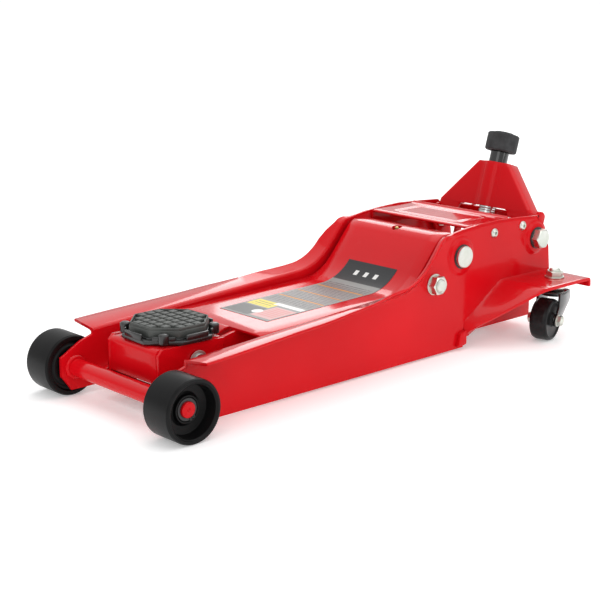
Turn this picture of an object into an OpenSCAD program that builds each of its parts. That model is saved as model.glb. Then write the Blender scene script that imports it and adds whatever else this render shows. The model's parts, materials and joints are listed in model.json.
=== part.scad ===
// Long low-profile hydraulic trolley jack, lowered.
// X across, front (saddle) at -Y, handle at +Y, Z up, floor at z = 0.
// "left" is +X: the left hand of a person who holds the handle.

/* [Frame] */
// Inner faces of the side plates, half distance
frame_in = 85.5; // [80:0.5:92]
// Thickness of the side plates
plate_t = 4; // [3:0.5:5]
// Clearance of the plates above the floor
plate_z = 3; // [2:0.5:6]
// Y of the front end of the top flange
flange_y = -288; // [-292:1:-280]
// Height of the flange at its front end
flange_z = 77.5; // [74:0.5:80]
// Rise of the flange towards the rear, degrees
flange_rise = 3.25; // [2:0.05:4]
// Slope of the ramp up to the rear section, degrees
ramp_slope = 49; // [44:1:54]
// Rear end of the side plates
plate_rear = 345; // [340:1:350]
// Height of the caster shelf top
shelf_z = 80; // [76:1:84]
// Outer edge of the caster shelf
shelf_out = 158; // [150:1:165]

/* [Front wheels] */
// Radius of the front wheels
wheel_r = 36; // [33:0.5:38]
// Tread width of the front wheels
wheel_w = 43.5; // [38:0.5:44]
// Outer face of the front wheels
wheel_out = 134.7; // [133:0.1:138]
// Y of the front axle
axle_y = -314; // [-316:1:-312]
// Radius of the axle bar between the plates
axle_bar_r = 10.5; // [9:0.5:11]
// Radius of the axle ends in the wheels
axle_end_r = 9; // [8:0.5:9]

/* [Lift arm] */
// Y of the lift arm's rear pivot
pivot_y = 156; // [154:1:158]
// Height of the lift arm's rear pivot
pivot_z = 125.5; // [124:0.5:127]
// Radius of the pivot shaft
pivot_r = 11; // [10:0.5:12]
// Y of the pin that carries the saddle bracket
head_y = -240; // [-242:1:-238]
// Height of the pin that carries the saddle bracket
head_z = 58; // [57:0.5:59]
// Offset of the levelling link's pivots from the arm's, along Y
link_dy = -49; // [-50:1:-48]
// Offset of the levelling link's pivots from the arm's, in height
link_dz = -29; // [-30:1:-28]
// Lever from the arm's pivot to the ram link
lever_r = 60; // [58:1:61]
// Angle of that lever behind straight down at rest
lever_a = 33; // [31:1:35]

/* [Saddle] */
// Y of the saddle's centre
saddle_y = -242; // [-244:1:-240]
// Underside of the saddle tray
saddle_z = 80.3; // [80:0.1:82]
// Height of the top of the rubber pad
pad_top = 98; // [94:0.5:100]
// Flat-to-flat width of the rubber pad
pad_w = 86; // [80:1:90]
// Flat-to-flat width of the saddle tray
tray_w = 104; // [98:1:106]

/* [Handle] */
// Y of the handle socket's pivot
socket_y = 309.5; // [308:0.5:311]
// Height of the handle socket's pivot
socket_z = 129; // [128:0.5:130]
// Backward lean of the handle at rest, degrees
lean = 16.6; // [15:0.1:18]
// Outer radius of the handle tube
handle_r = 12.8; // [12:0.1:13]
// Outer radius of the foam bumper sleeve
sleeve_r = 22; // [19:0.5:24]
// Distance from the pivot to the end of the handle's lower section
handle_end = 133; // [128:1:140]

/* [Casters] */
// X of the caster's swivel axis
caster_x = 125; // [122:1:128]
// Y of the caster's swivel axis
caster_y = 309; // [306:1:312]
// Radius of the caster wheels
caster_r = 28; // [24:0.5:29]
// Width of the caster wheels
caster_w = 25; // [22:1:26]
// Offset of the caster wheel behind its swivel axis
caster_trail = 24; // [20:1:26]
// Angle at which the casters stand at rest
caster_turn = 14; // [0:1:40]

/* [Hidden] */
$fn = 64;
red = "#d81f2a";
black = "#18191a";
zinc = "#c3c6c0";
grey = "#4a4c4e";

frame_out = frame_in + plate_t;
fit = 0.05;            // radial running clearance of pins and shafts
play = 0.5;            // gap between parts that pass each other

// --- profile helpers: points are [y, z] ---
function arc(c, r, a0, a1, n = 8) =
    [for (i = [0:n]) c + r * [cos(a0 + (a1 - a0) * i / n), sin(a0 + (a1 - a0) * i / n)]];

// A run that climbs gently, turns up a ramp and turns level again.
// start: first point, foot: ramp foot, crest: ramp head, end: last point
function blend(p, q, s, r, n = 8) =
    let (u = (p - q) / norm(p - q), v = (s - q) / norm(s - q),
         half = acos(u * v) / 2, t = r / tan(half),
         a = q + u * t, b = q + v * t,
         c = q + (u + v) / norm(u + v) * r / sin(half),
         a0 = atan2(a[1] - c[1], a[0] - c[0]), d = atan2(b[1] - c[1], b[0] - c[0]) - a0,
         turn = d > 180 ? d - 360 : (d < -180 ? d + 360 : d))
    arc(c, r, a0, a0 + turn, n);

function run(start, foot, crest, end, r_foot, r_crest) =
    concat([start], blend(start, foot, crest, r_foot), blend(foot, crest, end, r_crest), [end]);

ramp_foot = [70.5, flange_z + tan(flange_rise) * (70.5 - flange_y)];
ramp_head = ramp_foot + 65 * [cos(ramp_slope), sin(ramp_slope)] * 1.145;
hump_end = [136, ramp_head[1] + 1.5];
top_run = run([flange_y, flange_z], ramp_foot, ramp_head, hump_end, 83, 32);

// Moves a part from the drawing's datum to the middle of the object's box
rear_most = socket_y + handle_end * sin(lean) + sleeve_r * cos(lean);
mid_y = (axle_y - wheel_r + rear_most) / 2;
module home() {
    translate([0, -mid_y, 0]) children();
}

module along_x(x0, x1) {
    translate([x0, 0, 0]) rotate([90, 0, 90]) linear_extrude(x1 - x0) children();
}
module rod_x(x0, x1, y, z, r) {
    translate([x0, y, z]) rotate([0, 90, 0]) cylinder(h = x1 - x0, r = r);
}
module rod_y(y0, y1, x, z, r) {
    translate([x, y0, z]) rotate([-90, 0, 0]) cylinder(h = y1 - y0, r = r);
}
module hex_x(x0, x1, y, z, across) {
    translate([x0, y, z]) rotate([0, 90, 0]) cylinder(h = x1 - x0, d = across / cos(30), $fn = 6);
}
module both() {
    children();
    mirror([1, 0, 0]) children();
}
module octagon(width, cut) {
    h = width / 2;
    c = h - cut;
    polygon([[-c, -h], [c, -h], [h, -c], [h, c], [c, h], [-c, h], [-h, c], [-h, -c]]);
}

// --- frame ---
nose_z = 9;
wing_y = 168;
wing_z = 24;
wing_end = 247.6;
shelf_t = 4;
flange_t = 4;
rear_edge = [[159, 159], [193, 161.7], [229, 163], [275, 161], [312, 158.5], [326, 145], [341, 113]];

// Outer edge of the top flange: half width and lift above the bend, by y
flange_keys = [[flange_y, 124, 4], [-120, 117.5, 3.5], [-28, 111, 4.5], [27, 102, 7],
               [95, 101.5, 7.5], [118, 95, 2.5], [136, 90, 0]];
function key(y, col) = lookup(y, [for (k = flange_keys) [k[0], k[col]]]);

module side_plate_sheet() {
    along_x(frame_in, frame_out)
        polygon(concat(
            [[-320, nose_z], [-333, 27], [-333, 50], [-306, 65], [-293, 69]],
            top_run, rear_edge,
            [[plate_rear, shelf_z - 1], [238, shelf_z - 1], [wing_y, 37], [wing_y - 1, plate_z],
             [-270, plate_z], [-292, nose_z]]));
}

// The turned-out flange, one ring of four corners for each point of the top run
module top_flange() {
    n = len(top_run);
    x0 = frame_in + 0.5;
    pts = [for (i = [0:n - 1])
        let (p = top_run[i] + (i == 0 ? [0.3, 0] : [0, 0]), x = key(p[0], 1), up = key(p[0], 2))
        each [[x0, p[0], p[1] - flange_t], [x, p[0], p[1] + up - flange_t],
              [x, p[0], p[1] + up], [x0, p[0], p[1] + 0.2]]];
    faces = concat([[3, 2, 1, 0]],
        [for (i = [0:n - 2]) for (k = [0:3])
            let (a = 4 * i + k, b = 4 * i + (k + 1) % 4)
            each [[a, b + 4, a + 4], [a, b, b + 4]]],
        [[4 * n - 4, 4 * n - 3, 4 * n - 2, 4 * n - 1]]);
    polyhedron(points = pts, faces = faces, convexity = 4);
}

// The lower rear of the plate, turned outwards into the caster shelf
module wing() {
    in = frame_in + 0.7;
    low = shelf_z - shelf_t;
    pts = [[in, wing_y, wing_z], [frame_out + 0.6, wing_y, wing_z],
           [in, wing_y, 38], [frame_out, wing_y, 38],
           [in, wing_end, low], [shelf_out, wing_end, low],
           [in, wing_end, shelf_z + 4], [frame_out, wing_end, shelf_z + 4],
           [shelf_out, wing_end, shelf_z]];
    polyhedron(points = pts, convexity = 4, faces = [
        [0, 2, 3], [0, 3, 1], [0, 4, 2], [4, 6, 2], [2, 6, 3], [6, 7, 3], [3, 7, 8], [3, 8, 1],
        [1, 8, 5], [0, 1, 5], [0, 5, 4], [4, 5, 8], [4, 8, 7], [4, 7, 6]]);
}

module shelf() {
    x0 = frame_in + 1;
    curl = 8;
    translate([x0, wing_end - 0.5, shelf_z - shelf_t])
        cube([shelf_out - x0, plate_rear - wing_end - curl + 5, shelf_t]);
    // rear edge rolled down
    translate([x0, plate_rear - curl + 4, shelf_z - curl])
        rotate([90, 0, 90]) linear_extrude(shelf_out - x0)
            intersection() {
                difference() {
                    circle(curl);
                    circle(curl - shelf_t);
                }
                square([curl, curl]);
            }
    translate([x0, plate_rear + 4 - shelf_t, shelf_z - curl - 4])
        cube([shelf_out - x0, shelf_t, 4.01]);
}

module side_plate() {
    difference() {
        union() {
            side_plate_sheet();
            top_flange();
            wing();
            shelf();
            rod_x(frame_in, frame_out + 3, pivot_y, pivot_z, 22);
            rod_x(frame_in, frame_out + 3, socket_y, socket_z, 20);
        }
        rod_x(frame_in - 1, frame_out + 9, pivot_y, pivot_z, pivot_r + fit);
        rod_x(frame_in - 1, frame_out + 9, socket_y, socket_z, 8);
        rod_x(frame_in - 1, frame_out + 9, pivot_y + link_dy, pivot_z + link_dz, 8);
        rod_x(frame_in - 1, frame_out + 9, axle_y, wheel_r, axle_end_r);
        for (s = cover_screws) rod_x(frame_in - 1, frame_out + 9, s[0], s[1], 4);
        translate([caster_x, caster_y, shelf_z - 10]) cylinder(h = 20, r = 8);
    }
}
module side_plate_left() { color(red) home() side_plate(); }
module side_plate_right() { color(red) home() mirror([1, 0, 0]) side_plate(); }

// Carries the pump unit; steps inwards behind the wing to leave room for the casters
inner_t = 4;
inner_x = 66;
module inner_plate() {
    out = inner_x + inner_t;
    translate([0, 0, 14]) linear_extrude(60) polygon([
        [frame_in, 166], [frame_in, 182], [out, 216], [out, 330],
        [inner_x, 330], [inner_x, 214.5], [frame_in - inner_t, 180.5], [frame_in - inner_t, 166]]);
}
module inner_plate_left() { color(red) home() inner_plate(); }
module inner_plate_right() { color(red) home() mirror([1, 0, 0]) inner_plate(); }

module front_axle() {
    color(red) home() {
        rod_x(-frame_in, frame_in, axle_y, wheel_r, axle_bar_r);
        rod_x(-wheel_out + 9.5, wheel_out - 9.5, axle_y, wheel_r, axle_end_r);
    }
}

module front_cross_tube() {
    color(red) home() difference() {
        rod_x(-frame_in, frame_in, 40, 20, 11);
        rod_x(-frame_in - 1, frame_in + 1, 40, 20, 8);
    }
}

// Plate across the frame that the pump block is bolted to
floor_z = 16;
module rear_cross_plate() {
    color(red) home() difference() {
        translate([-inner_x, 268, floor_z]) cube([2 * inner_x, 62, 5]);
        for (p = block_bolts) translate([p[0], p[1], 0]) cylinder(h = 40, r = 4);
    }
}

// --- front wheels ---
dish = 11;
module front_wheel() {
    x0 = wheel_out - wheel_w;
    translate([x0, axle_y, wheel_r]) rotate([0, 90, 0]) rotate([0, 0, 90])
        rotate_extrude(angle = 360, $fn = 96) polygon([
            [axle_end_r + 0.06, 0], [wheel_r - 2, 0], [wheel_r, 2],
            [wheel_r, wheel_w - 2], [wheel_r - 1.5, wheel_w], [wheel_r - 4, wheel_w],
            [wheel_r - 7, wheel_w - dish - 6], [15, wheel_w - dish - 8],
            [14, wheel_w - dish - 3], [axle_end_r + 0.06, wheel_w - dish - 3]]);
}
module front_wheel_left() { color(black) home() front_wheel(); }
module front_wheel_right() { color(black) home() mirror([1, 0, 0]) front_wheel(); }

module wheel_retaining_rings() {
    x0 = wheel_out - dish - 2.7;
    color(black) home() both() difference() {
        rod_x(x0, x0 + 2.5, axle_y, wheel_r, 12.8);
        rod_x(x0 - 1, x0 + 4, axle_y, wheel_r, axle_end_r);
    }
}

// --- lift arm ---
cover_w = 80;
cover_t = 3;
cover_foot = [69, 86.8];
cover_head = cover_foot + 81.5 * [cos(ramp_slope), sin(ramp_slope)] * 1.1;
cover_top = run([-175, 81.2], cover_foot, cover_head, [151, cover_head[1] - 0.5], 70, 26);
arm_in = 32;
arm_out = 38;
ram_z = 70.5;
lever_pin = [pivot_y + lever_r * sin(lever_a), pivot_z - lever_r * cos(lever_a)];
crosshead = [lever_pin[0] + 30, ram_z];

// The cover sheet hangs its thickness below the top run
module cover_sheet() {
    n = len(cover_top);
    low = [for (i = [n - 1:-1:0]) cover_top[i] - [-cover_t * 0.7 * (i > 8 ? 1 : 0), cover_t]];
    difference() {
        along_x(-cover_w, cover_w) polygon(concat(cover_top, low));
        translate([0, 133, 100]) cylinder(h = 80, r = 7);
    }
}

// The narrow tongue of the cover that bends down in front, between the arm plates
module cover_tongue() {
    r = 22;
    x = 25;
    along_x(-x, x) intersection() {
        translate([-174.5, 81.2 - r]) difference() {
            circle(r);
            circle(r - cover_t);
        }
        translate([-200, 81.2 - r]) square([26, r]);
    }
}

module arm_plate() {
    along_x(arm_in, arm_out) difference() {
        union() {
            polygon(concat(
                [[head_y, head_z + 12], [-200, 73]],
                [for (p = cover_top) p - [0, cover_t - 0.1]],
                [[pivot_y + 18, pivot_z + 8], [pivot_y + 12, pivot_z - 24],
                 [96, 84], [52, 50], [-60, 42], [head_y, head_z - 14]]));
            translate([head_y, head_z]) circle(14);
            translate([pivot_y, pivot_z]) circle(24);
            hull() {
                translate([pivot_y, pivot_z]) circle(16, $fn = 32);
                translate(lever_pin) circle(14, $fn = 32);
            }
        }
        translate([head_y, head_z]) circle(9);
        translate([pivot_y, pivot_z]) circle(16.5);
        translate(lever_pin) circle(8);
    }
}

module lift_arm() {
    color(red) home() difference() {
        union() {
            cover_sheet();
            cover_tongue();
            both() arm_plate();
            rod_x(-frame_in + play, frame_in - play, pivot_y, pivot_z, 17);
        }
        rod_x(-frame_in - 1, frame_in + 1, pivot_y, pivot_z, pivot_r + fit);
    }
}

boss_x = frame_out + 3;
module arm_pivot_shaft() {
    color(zinc) home() {
        rod_x(-boss_x - 1.5, boss_x + 1.5, pivot_y, pivot_z, pivot_r);
        both() rod_x(boss_x + 1.5, boss_x + 6.5, pivot_y, pivot_z, 14);
    }
}
module arm_pivot_washers() {
    color(black) home() both() difference() {
        rod_x(boss_x, boss_x + 1.5, pivot_y, pivot_z, 15.5);
        rod_x(boss_x - 1, boss_x + 3, pivot_y, pivot_z, pivot_r);
    }
}

module grease_fitting() {
    color("#b9a05a") home() translate([0, 133, pivot_z + 17 - 0.5]) {
        cylinder(h = 5, r = 4.5, $fn = 6);
        cylinder(h = 9, r = 3);
        translate([0, 0, 9]) sphere(3);
    }
}

// Safety label laid on the cover, over the foot of the ramp
module label_plate() {
    first = [for (p = cover_top) if (p[0] > -150 && p[0] < 92) p];
    line = concat([[-150, 81.2 + 25 * (cover_foot[1] - 81.2) / (cover_foot[0] + 175)]], first);
    up = [for (i = [len(line) - 1:-1:0]) line[i] + [0, 0.5]];
    color("#8f928f") home() along_x(-43, 43) polygon(concat(line, up));
}

// --- saddle bracket and saddle ---
bracket_w = 47.5;
bracket_t = 5;
bracket_y = -295;
bracket_end = -203;
link_y = head_y + link_dy;
link_z = head_z + link_dz;

module bracket_side() {
    along_x(bracket_w - bracket_t, bracket_w) difference() {
        union() {
            polygon([[bracket_y, link_z], [bracket_y, 79], [bracket_end + 6, 77],
                     [bracket_end, 70], [bracket_end, 55], [head_y + 10, head_z - 14],
                     [link_y + 8, link_z - 8], [link_y, link_z]]);
            translate([link_y, link_z]) circle(11);
            translate([head_y, head_z]) circle(15);
        }
        translate([head_y, head_z]) circle(9);
        translate([link_y, link_z]) circle(6 + fit);
    }
}

module saddle_bracket() {
    color(red) home() difference() {
        union() {
            both() bracket_side();
            translate([-bracket_w, bracket_y, 39]) cube([2 * bracket_w, bracket_t, 40]);
            translate([-bracket_w, bracket_y, 75]) cube([2 * bracket_w, bracket_end - bracket_y, 5]);
        }
        translate([0, saddle_y, 60]) cylinder(h = 40, r = 12 + fit);
    }
}

module bracket_pin() {
    color(zinc) home() rod_x(-bracket_w - 5, bracket_w + 5, head_y, head_z, 9 - fit);
}
module bracket_pin_clips() {
    color(zinc) home() both() difference() {
        rod_x(bracket_w + 1, bracket_w + 2.5, head_y, head_z, 12);
        rod_x(bracket_w, bracket_w + 4, head_y, head_z, 9 - fit);
    }
}

tray_t = 5;
lip_z = 91;
module saddle_tray() {
    color(black) home() translate([0, saddle_y, 0]) {
        difference() {
            translate([0, 0, saddle_z]) linear_extrude(lip_z - saddle_z) octagon(tray_w, 32);
            translate([0, 0, saddle_z + tray_t]) linear_extrude(20) octagon(pad_w + 1, 25);
        }
        translate([0, 0, 71]) cylinder(h = saddle_z - 70, r = 12);
        for (a = [45:90:315]) rotate([0, 0, a])
            translate([tray_w * 0.485, 0, 0.5 * (lip_z + saddle_z)])
                cylinder(h = 9, r = 5.5, center = true);
    }
}

module saddle_pad() {
    block = 9.4;
    pitch = 12.2;
    base = pad_top - 3;
    color(grey) home() translate([0, saddle_y, 0]) {
        translate([0, 0, saddle_z + tray_t]) linear_extrude(base - saddle_z - tray_t)
            octagon(pad_w, 24.5);
        translate([0, 0, base - 0.01]) linear_extrude(pad_top - base + 0.01) intersection() {
            octagon(pad_w - 3, 23.5);
            for (i = [-3:3]) for (j = [-3:3])
                translate([i * pitch, j * pitch]) square([block, block], center = true);
        }
    }
}

// --- levelling links ---
link_x0 = 54;
link_x1 = 60;
q_y = pivot_y + link_dy;
q_z = pivot_z + link_dz;
module levelling_link() {
    along_x(link_x0, link_x1) difference() {
        union() {
            polygon([[link_y, link_z + 9], [link_y, link_z - 9], [60, 54], [72, 60],
                     [q_y + 9, q_z - 8], [q_y - 9, q_z + 8], [62, 76], [50, 71]]);
            translate([link_y, link_z]) circle(9);
            translate([q_y, q_z]) circle(13);
        }
        translate([link_y, link_z]) circle(6);
        translate([q_y, q_z]) circle(8 + fit);
    }
}
module levelling_link_left() { color(red) home() levelling_link(); }
module levelling_link_right() { color(red) home() mirror([1, 0, 0]) levelling_link(); }
module link_front_pin() {
    color(zinc) home() rod_x(-link_x1 - 3, link_x1 + 3, link_y, link_z, 6);
}
module link_pivot_bolts() {
    color(zinc) home() both() {
        rod_x(link_x0 - 1, frame_out + 13.5, q_y, q_z, 8);
        hex_x(link_x0 - 10, link_x0 - 1, q_y, q_z, 24);
        difference() {
            rod_x(link_x1 + 0.6, frame_in, q_y, q_z, 12);
            rod_x(link_x1, frame_in + 1, q_y, q_z, 8);
        }
    }
}
module link_pivot_nuts() {
    color(zinc) home() both() difference() {
        union() {
            hex_x(frame_out + 1.5, frame_out + 11.5, q_y, q_z, 22);
            rod_x(frame_out, frame_out + 1.5, q_y, q_z, 13.5);
        }
        rod_x(frame_out - 1, frame_out + 14, q_y, q_z, 8);
    }
}

// --- hydraulic unit ---
block_y0 = 276;
block_y1 = 334;
block_top = 90;
block_low = floor_z + 5;
block_hump = 102;
cyl_r = 24;
bore_r = 19;
piston_l = 12;
plunger_x = -50;
plunger_z = 102;
plunger_r = 6;
barrel_y0 = 254;
barrel_y1 = 286;
plug = [34, 300];
block_bolts = [[-30, 288], [30, 288], [-30, 322], [30, 322]];

module pump_block() {
    barrel_w = 24;
    color(red) home() difference() {
        union() {
            translate([-45, block_y0, block_low])
                cube([90, block_y1 - block_y0, block_top - block_low]);
            translate([-24, block_y0, block_top - 1])
                cube([48, block_y1 - block_y0, block_hump - block_top + 1]);
            translate([plunger_x - barrel_w / 2, barrel_y0, plunger_z - 12])
                cube([barrel_w, barrel_y1 - barrel_y0, 24]);
            translate([plunger_x - barrel_w / 2, block_y0, 60])
                cube([barrel_w, barrel_y1 - block_y0, plunger_z - 50]);
        }
        rod_y(block_y0 - 1, block_y1 - 4, 0, ram_z, cyl_r);
        rod_y(barrel_y0 + 3, barrel_y1 + 1, plunger_x, plunger_z, plunger_r + fit);
        translate([0, socket_y, ram_z + cyl_r + 0.6]) cylinder(h = 20, r = 6 + fit);
        for (p = block_bolts) translate([p[0], p[1], 0]) cylinder(h = block_low + 14, r = 4);
        translate([plug[0], plug[1], block_top - 8]) cylinder(h = 20, r = 6);
    }
}
module cylinder_tube() {
    color(grey) home() difference() {
        rod_y(246, block_y1 - 4, 0, ram_z, cyl_r);
        rod_y(245, block_y1 - 9, 0, ram_z, bore_r + fit);
    }
}
module reservoir_tube() {
    color(red) home() difference() {
        rod_y(250, block_y0, 0, ram_z, 37);
        rod_y(249, block_y0 + 1, 0, ram_z, 34);
    }
}
module gland_nut() {
    color(zinc) home() difference() {
        union() {
            rod_y(238, 246, 0, ram_z, 30);
            rod_y(246, 250, 0, ram_z, 37);
        }
        rod_y(237, 251, 0, ram_z, 12 + fit);
        rod_y(246, 251, 0, ram_z, cyl_r);
    }
}
// Tall eye: the crosshead pin rises and falls a little as the arm turns
ram_end = block_y1 - 10;
module ram() {
    color(zinc) home() difference() {
        union() {
            rod_y(crosshead[0] + 10, ram_end, 0, ram_z, 12);
            rod_y(ram_end - piston_l, ram_end, 0, ram_z, bore_r);
            along_x(-9, 9) translate(crosshead - [11, 17]) square([22, 34]);
        }
        along_x(-12, 12) translate(crosshead - [7.3, 12]) square([14.6, 24]);
    }
}
module ram_links() {
    color(grey) home() both() along_x(12, 18) difference() {
        hull() {
            translate(lever_pin) circle(12.5, $fn = 32);
            translate([crosshead[0], lever_pin[1]]) circle(12.5, $fn = 32);
        }
        translate(lever_pin) circle(8 + fit);
        translate([crosshead[0], lever_pin[1]]) circle(6);
    }
}
module ram_arm_pin() {
    color(zinc) home() rod_x(-arm_out - 3, arm_out + 3, lever_pin[0], lever_pin[1], 8);
}
module ram_crosshead_pin() {
    color(zinc) home() rod_x(-21, 21, crosshead[0], lever_pin[1], 6);
}
module oil_filler_plug() {
    color(black) home() translate([plug[0], plug[1], block_top - 8]) {
        cylinder(h = 8, r = 6);
        translate([0, 0, 8]) cylinder(h = 5, r = 9);
    }
}
module pump_block_bolts() {
    color(zinc) home() for (p = block_bolts) translate([p[0], p[1], floor_z - 6]) {
        cylinder(h = 6, d = 15, $fn = 6);
        cylinder(h = 24, r = 4);
    }
}
roller_dy = 14;
roller_dz = -26;
roller_y = socket_y + roller_dy;
roller_z = socket_z + roller_dz;
roller_r = 7;
plunger_end = roller_y - roller_r - 0.3;
module pump_plunger() {
    color(zinc) home() {
        rod_y(barrel_y1 - 7.5, plunger_end, plunger_x, plunger_z, plunger_r);
        rod_y(plunger_end - 4, plunger_end, plunger_x, plunger_z, 8.5);
    }
}
module pump_spring() {
    wire = 1.1;
    coil = 7.4;
    turns = 3;
    steps = 16;
    sides = 8;
    long = plunger_end - 4 - barrel_y1;
    n = turns * steps;
    pts = [for (i = [0:n])
        let (a = 360 * i / steps, y = barrel_y1 + wire + (long - 2 * wire) * i / n)
        for (k = [0:sides - 1]) let (b = 360 * k / sides, r = coil + wire * cos(b))
            [plunger_x + r * cos(a), y + wire * sin(b), plunger_z + r * sin(a)]];
    faces = concat([[for (k = [0:sides - 1]) sides - 1 - k]],
        [for (i = [0:n - 1]) for (k = [0:sides - 1])
            let (a = sides * i + k, b = sides * i + (k + 1) % sides)
            each [[a, b, b + sides], [a, b + sides, a + sides]]],
        [[for (k = [0:sides - 1]) sides * n + k]]);
    color(zinc) home() polyhedron(points = pts, faces = faces, convexity = 8);
}
module pump_roller() {
    color(zinc) home() difference() {
        rod_x(plunger_x - 8, plunger_x + 8, roller_y, roller_z, roller_r);
        rod_x(plunger_x - 9, plunger_x + 9, roller_y, roller_z, 4 + fit);
    }
}
module pump_roller_pin() {
    color(zinc) home() rod_x(plunger_x - 12.5, plunger_x + 12.5, roller_y, roller_z, 4);
}
module release_valve() {
    color(zinc) home() translate([0, socket_y, block_hump]) {
        translate([0, 0, -6.6]) cylinder(h = 8, r = 6);
        translate([0, 0, 0.4]) cylinder(h = 10.6, r = 8);
        translate([-2.5, -7, 10.5]) cube([5, 14, 12.5]);
    }
}

// --- handle socket: drawn upright about its pivot, then leant back ---
yoke_w = 81;
yoke_top_w = 27;
yoke_t = 4;
yoke_low = 20;
yoke_knee = 31;
yoke_top = 92;
module leaning() {
    translate([0, socket_y, socket_z]) rotate([-lean, 0, 0]) children();
}
module yoke_outline(inset, top) {
    polygon([[-yoke_w + inset, yoke_low], [yoke_w - inset, yoke_low], [yoke_w - inset, yoke_knee],
             [yoke_top_w - inset, top], [-yoke_top_w + inset, top], [-yoke_w + inset, yoke_knee]]);
}
bar = [18, 26];
roller_local = [roller_dy * cos(lean) - roller_dz * sin(lean),
                roller_dy * sin(lean) + roller_dz * cos(lean)];
module handle_socket() {
    front = -11;
    color(red) home() difference() {
        leaning() difference() {
            union() {
                // front sheet with both edges folded back
                difference() {
                    translate([0, front + 24, 0]) rotate([90, 0, 0]) linear_extrude(24)
                        yoke_outline(0, yoke_top);
                    translate([0, front + 30, 0]) rotate([90, 0, 0]) linear_extrude(30 - yoke_t)
                        yoke_outline(yoke_t, yoke_top + 1);
                    translate([-yoke_w + yoke_t, front + yoke_t, yoke_low - 1])
                        cube([2 * (yoke_w - yoke_t), 30, 6]);
                }
                translate([0, 0, yoke_knee + 1]) cylinder(h = yoke_top - yoke_knee - 1, r = 17);
                both() along_x(yoke_w - yoke_t, yoke_w) {
                    circle(15);
                    translate([front, 0]) square([24, yoke_low + 2]);
                }
                both() along_x(yoke_w - yoke_t, yoke_w) translate([0, 12]) square([24, 24]);
            }
            translate([0, 0, -5]) cylinder(h = 120, r = handle_r + fit);
            translate([-44, front - 1, 8]) cube([88, 10, 24]);
            translate([0, 0, 62]) rotate([-90, 0, 0]) cylinder(h = 30, r = 4);
        }
        rod_x(-frame_in, frame_in, socket_y, socket_z, 8 + fit);
    }
}
// Bar welded between the socket's cheeks, with two ears that hold the pump roller
module roller_bracket() {
    color(red) home() difference() {
        leaning() {
            rod_x(-yoke_w + yoke_t, yoke_w - yoke_t, bar[0], bar[1], 5);
            for (side = [-1, 1]) translate([plunger_x + side * 10.5, 0, 0]) along_x(-1.5, 1.5)
                hull() {
                    translate(bar) circle(5, $fn = 32);
                    translate(roller_local) circle(7, $fn = 32);
                }
        }
        rod_x(plunger_x - 13, plunger_x + 13, roller_y, roller_z, 4);
    }
}
module socket_pivot_bolts() {
    color(zinc) home() both() {
        rod_x(yoke_w - yoke_t - 2, boss_x + 2, socket_y, socket_z, 8);
        hex_x(boss_x + 2, boss_x + 12, socket_y, socket_z, 24);
    }
}
module socket_washers() {
    color(black) home() both() difference() {
        rod_x(boss_x, boss_x + 2, socket_y, socket_z, 14.5);
        rod_x(boss_x - 1, boss_x + 3, socket_y, socket_z, 8);
    }
}
module handle_tube() {
    color(black) home() leaning() difference() {
        translate([0, 0, 38]) cylinder(h = handle_end - 38 + 2, r = handle_r);
        translate([0, 0, 37]) cylinder(h = handle_end, r = handle_r - 2.5);
    }
}
module handle_sleeve() {
    color(grey) home() leaning() difference() {
        translate([0, 0, 108]) cylinder(h = handle_end - 108, r = sleeve_r);
        translate([0, 0, 107]) cylinder(h = 60, r = handle_r);
    }
}
module handle_lock_screw() {
    color(zinc) home() leaning() translate([0, 0, 62]) rotate([-90, 0, 0]) {
        translate([0, 0, handle_r + 0.3]) cylinder(h = 5, r = 4);
        translate([0, 0, 17.2]) cylinder(h = 6, d = 14, $fn = 6);
    }
}
module release_coupler() {
    color(zinc) home() leaning() {
        translate([0, 0, 18]) cylinder(h = 20, r = 12);
        translate([0, 0, 7]) cylinder(h = 11.5, r = 6);
    }
}

// --- rear top cover ---
cover_screws = [[222, 146.6], [281, 148.6]];
top_cover_y = 173;
top_cover_end = 256;
module rear_top_cover() {
    top = 161;
    t = 2.5;
    w = frame_in - 0.2;
    color(red) home() difference() {
        union() {
            translate([-w, top_cover_y, top - t]) cube([2 * w, top_cover_end - top_cover_y, t]);
            translate([-w + 6, top_cover_end - t, top - 1]) cube([2 * w - 12, t, 4]);
            both() along_x(w - t, w) polygon([
                [top_cover_y, top], [top_cover_y, 150], [205, 138], [292, 138], [292, 154],
                [top_cover_end, top]]);
        }
        translate([-58, top_cover_y + 16, top - 1.2])
            linear_extrude(5) difference() {
                square([116, 52]);
                translate([5, 5]) square([106, 42]);
            }
        for (s = cover_screws) rod_x(-frame_in - 1, frame_in + 1, s[0], s[1], 4);
    }
}
module rear_cover_screws() {
    color(zinc) home() both() for (s = cover_screws) {
        rod_x(frame_in - 6, frame_out, s[0], s[1], 4);
        rod_x(frame_out, frame_out + 3.2, s[0], s[1], 6.3);
    }
}

// --- casters: drawn about the swivel axis, wheel trailing towards -Y ---
cup_z = shelf_z - shelf_t;
fork_top = 63;
module at_caster(turned) {
    translate([caster_x, caster_y, 0]) rotate([0, 0, turned ? caster_turn : 0]) children();
}
module caster_cups() {
    color(zinc) home() both() at_caster(false) {
        translate([0, 0, cup_z - 3]) cylinder(h = 3, r = 18);
        translate([0, 0, fork_top + 0.4]) cylinder(h = cup_z - 3 - fork_top - 0.4, r1 = 13, r2 = 17);
        translate([0, 0, fork_top - 6]) cylinder(h = cup_z - fork_top + 10, r = 7.5);
    }
}
module caster_stud_nuts() {
    color(zinc) home() both() at_caster(false) {
        difference() {
            union() {
                translate([0, 0, shelf_z]) cylinder(h = 2, r = 13);
                translate([0, 0, shelf_z + 2]) cylinder(h = 7, d = 20, $fn = 6);
            }
            translate([0, 0, shelf_z - 1]) cylinder(h = 5, r = 7.5);
        }
        translate([0, 0, shelf_z + 9]) cylinder(h = 4, r1 = 8, r2 = 5);
    }
}
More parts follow.
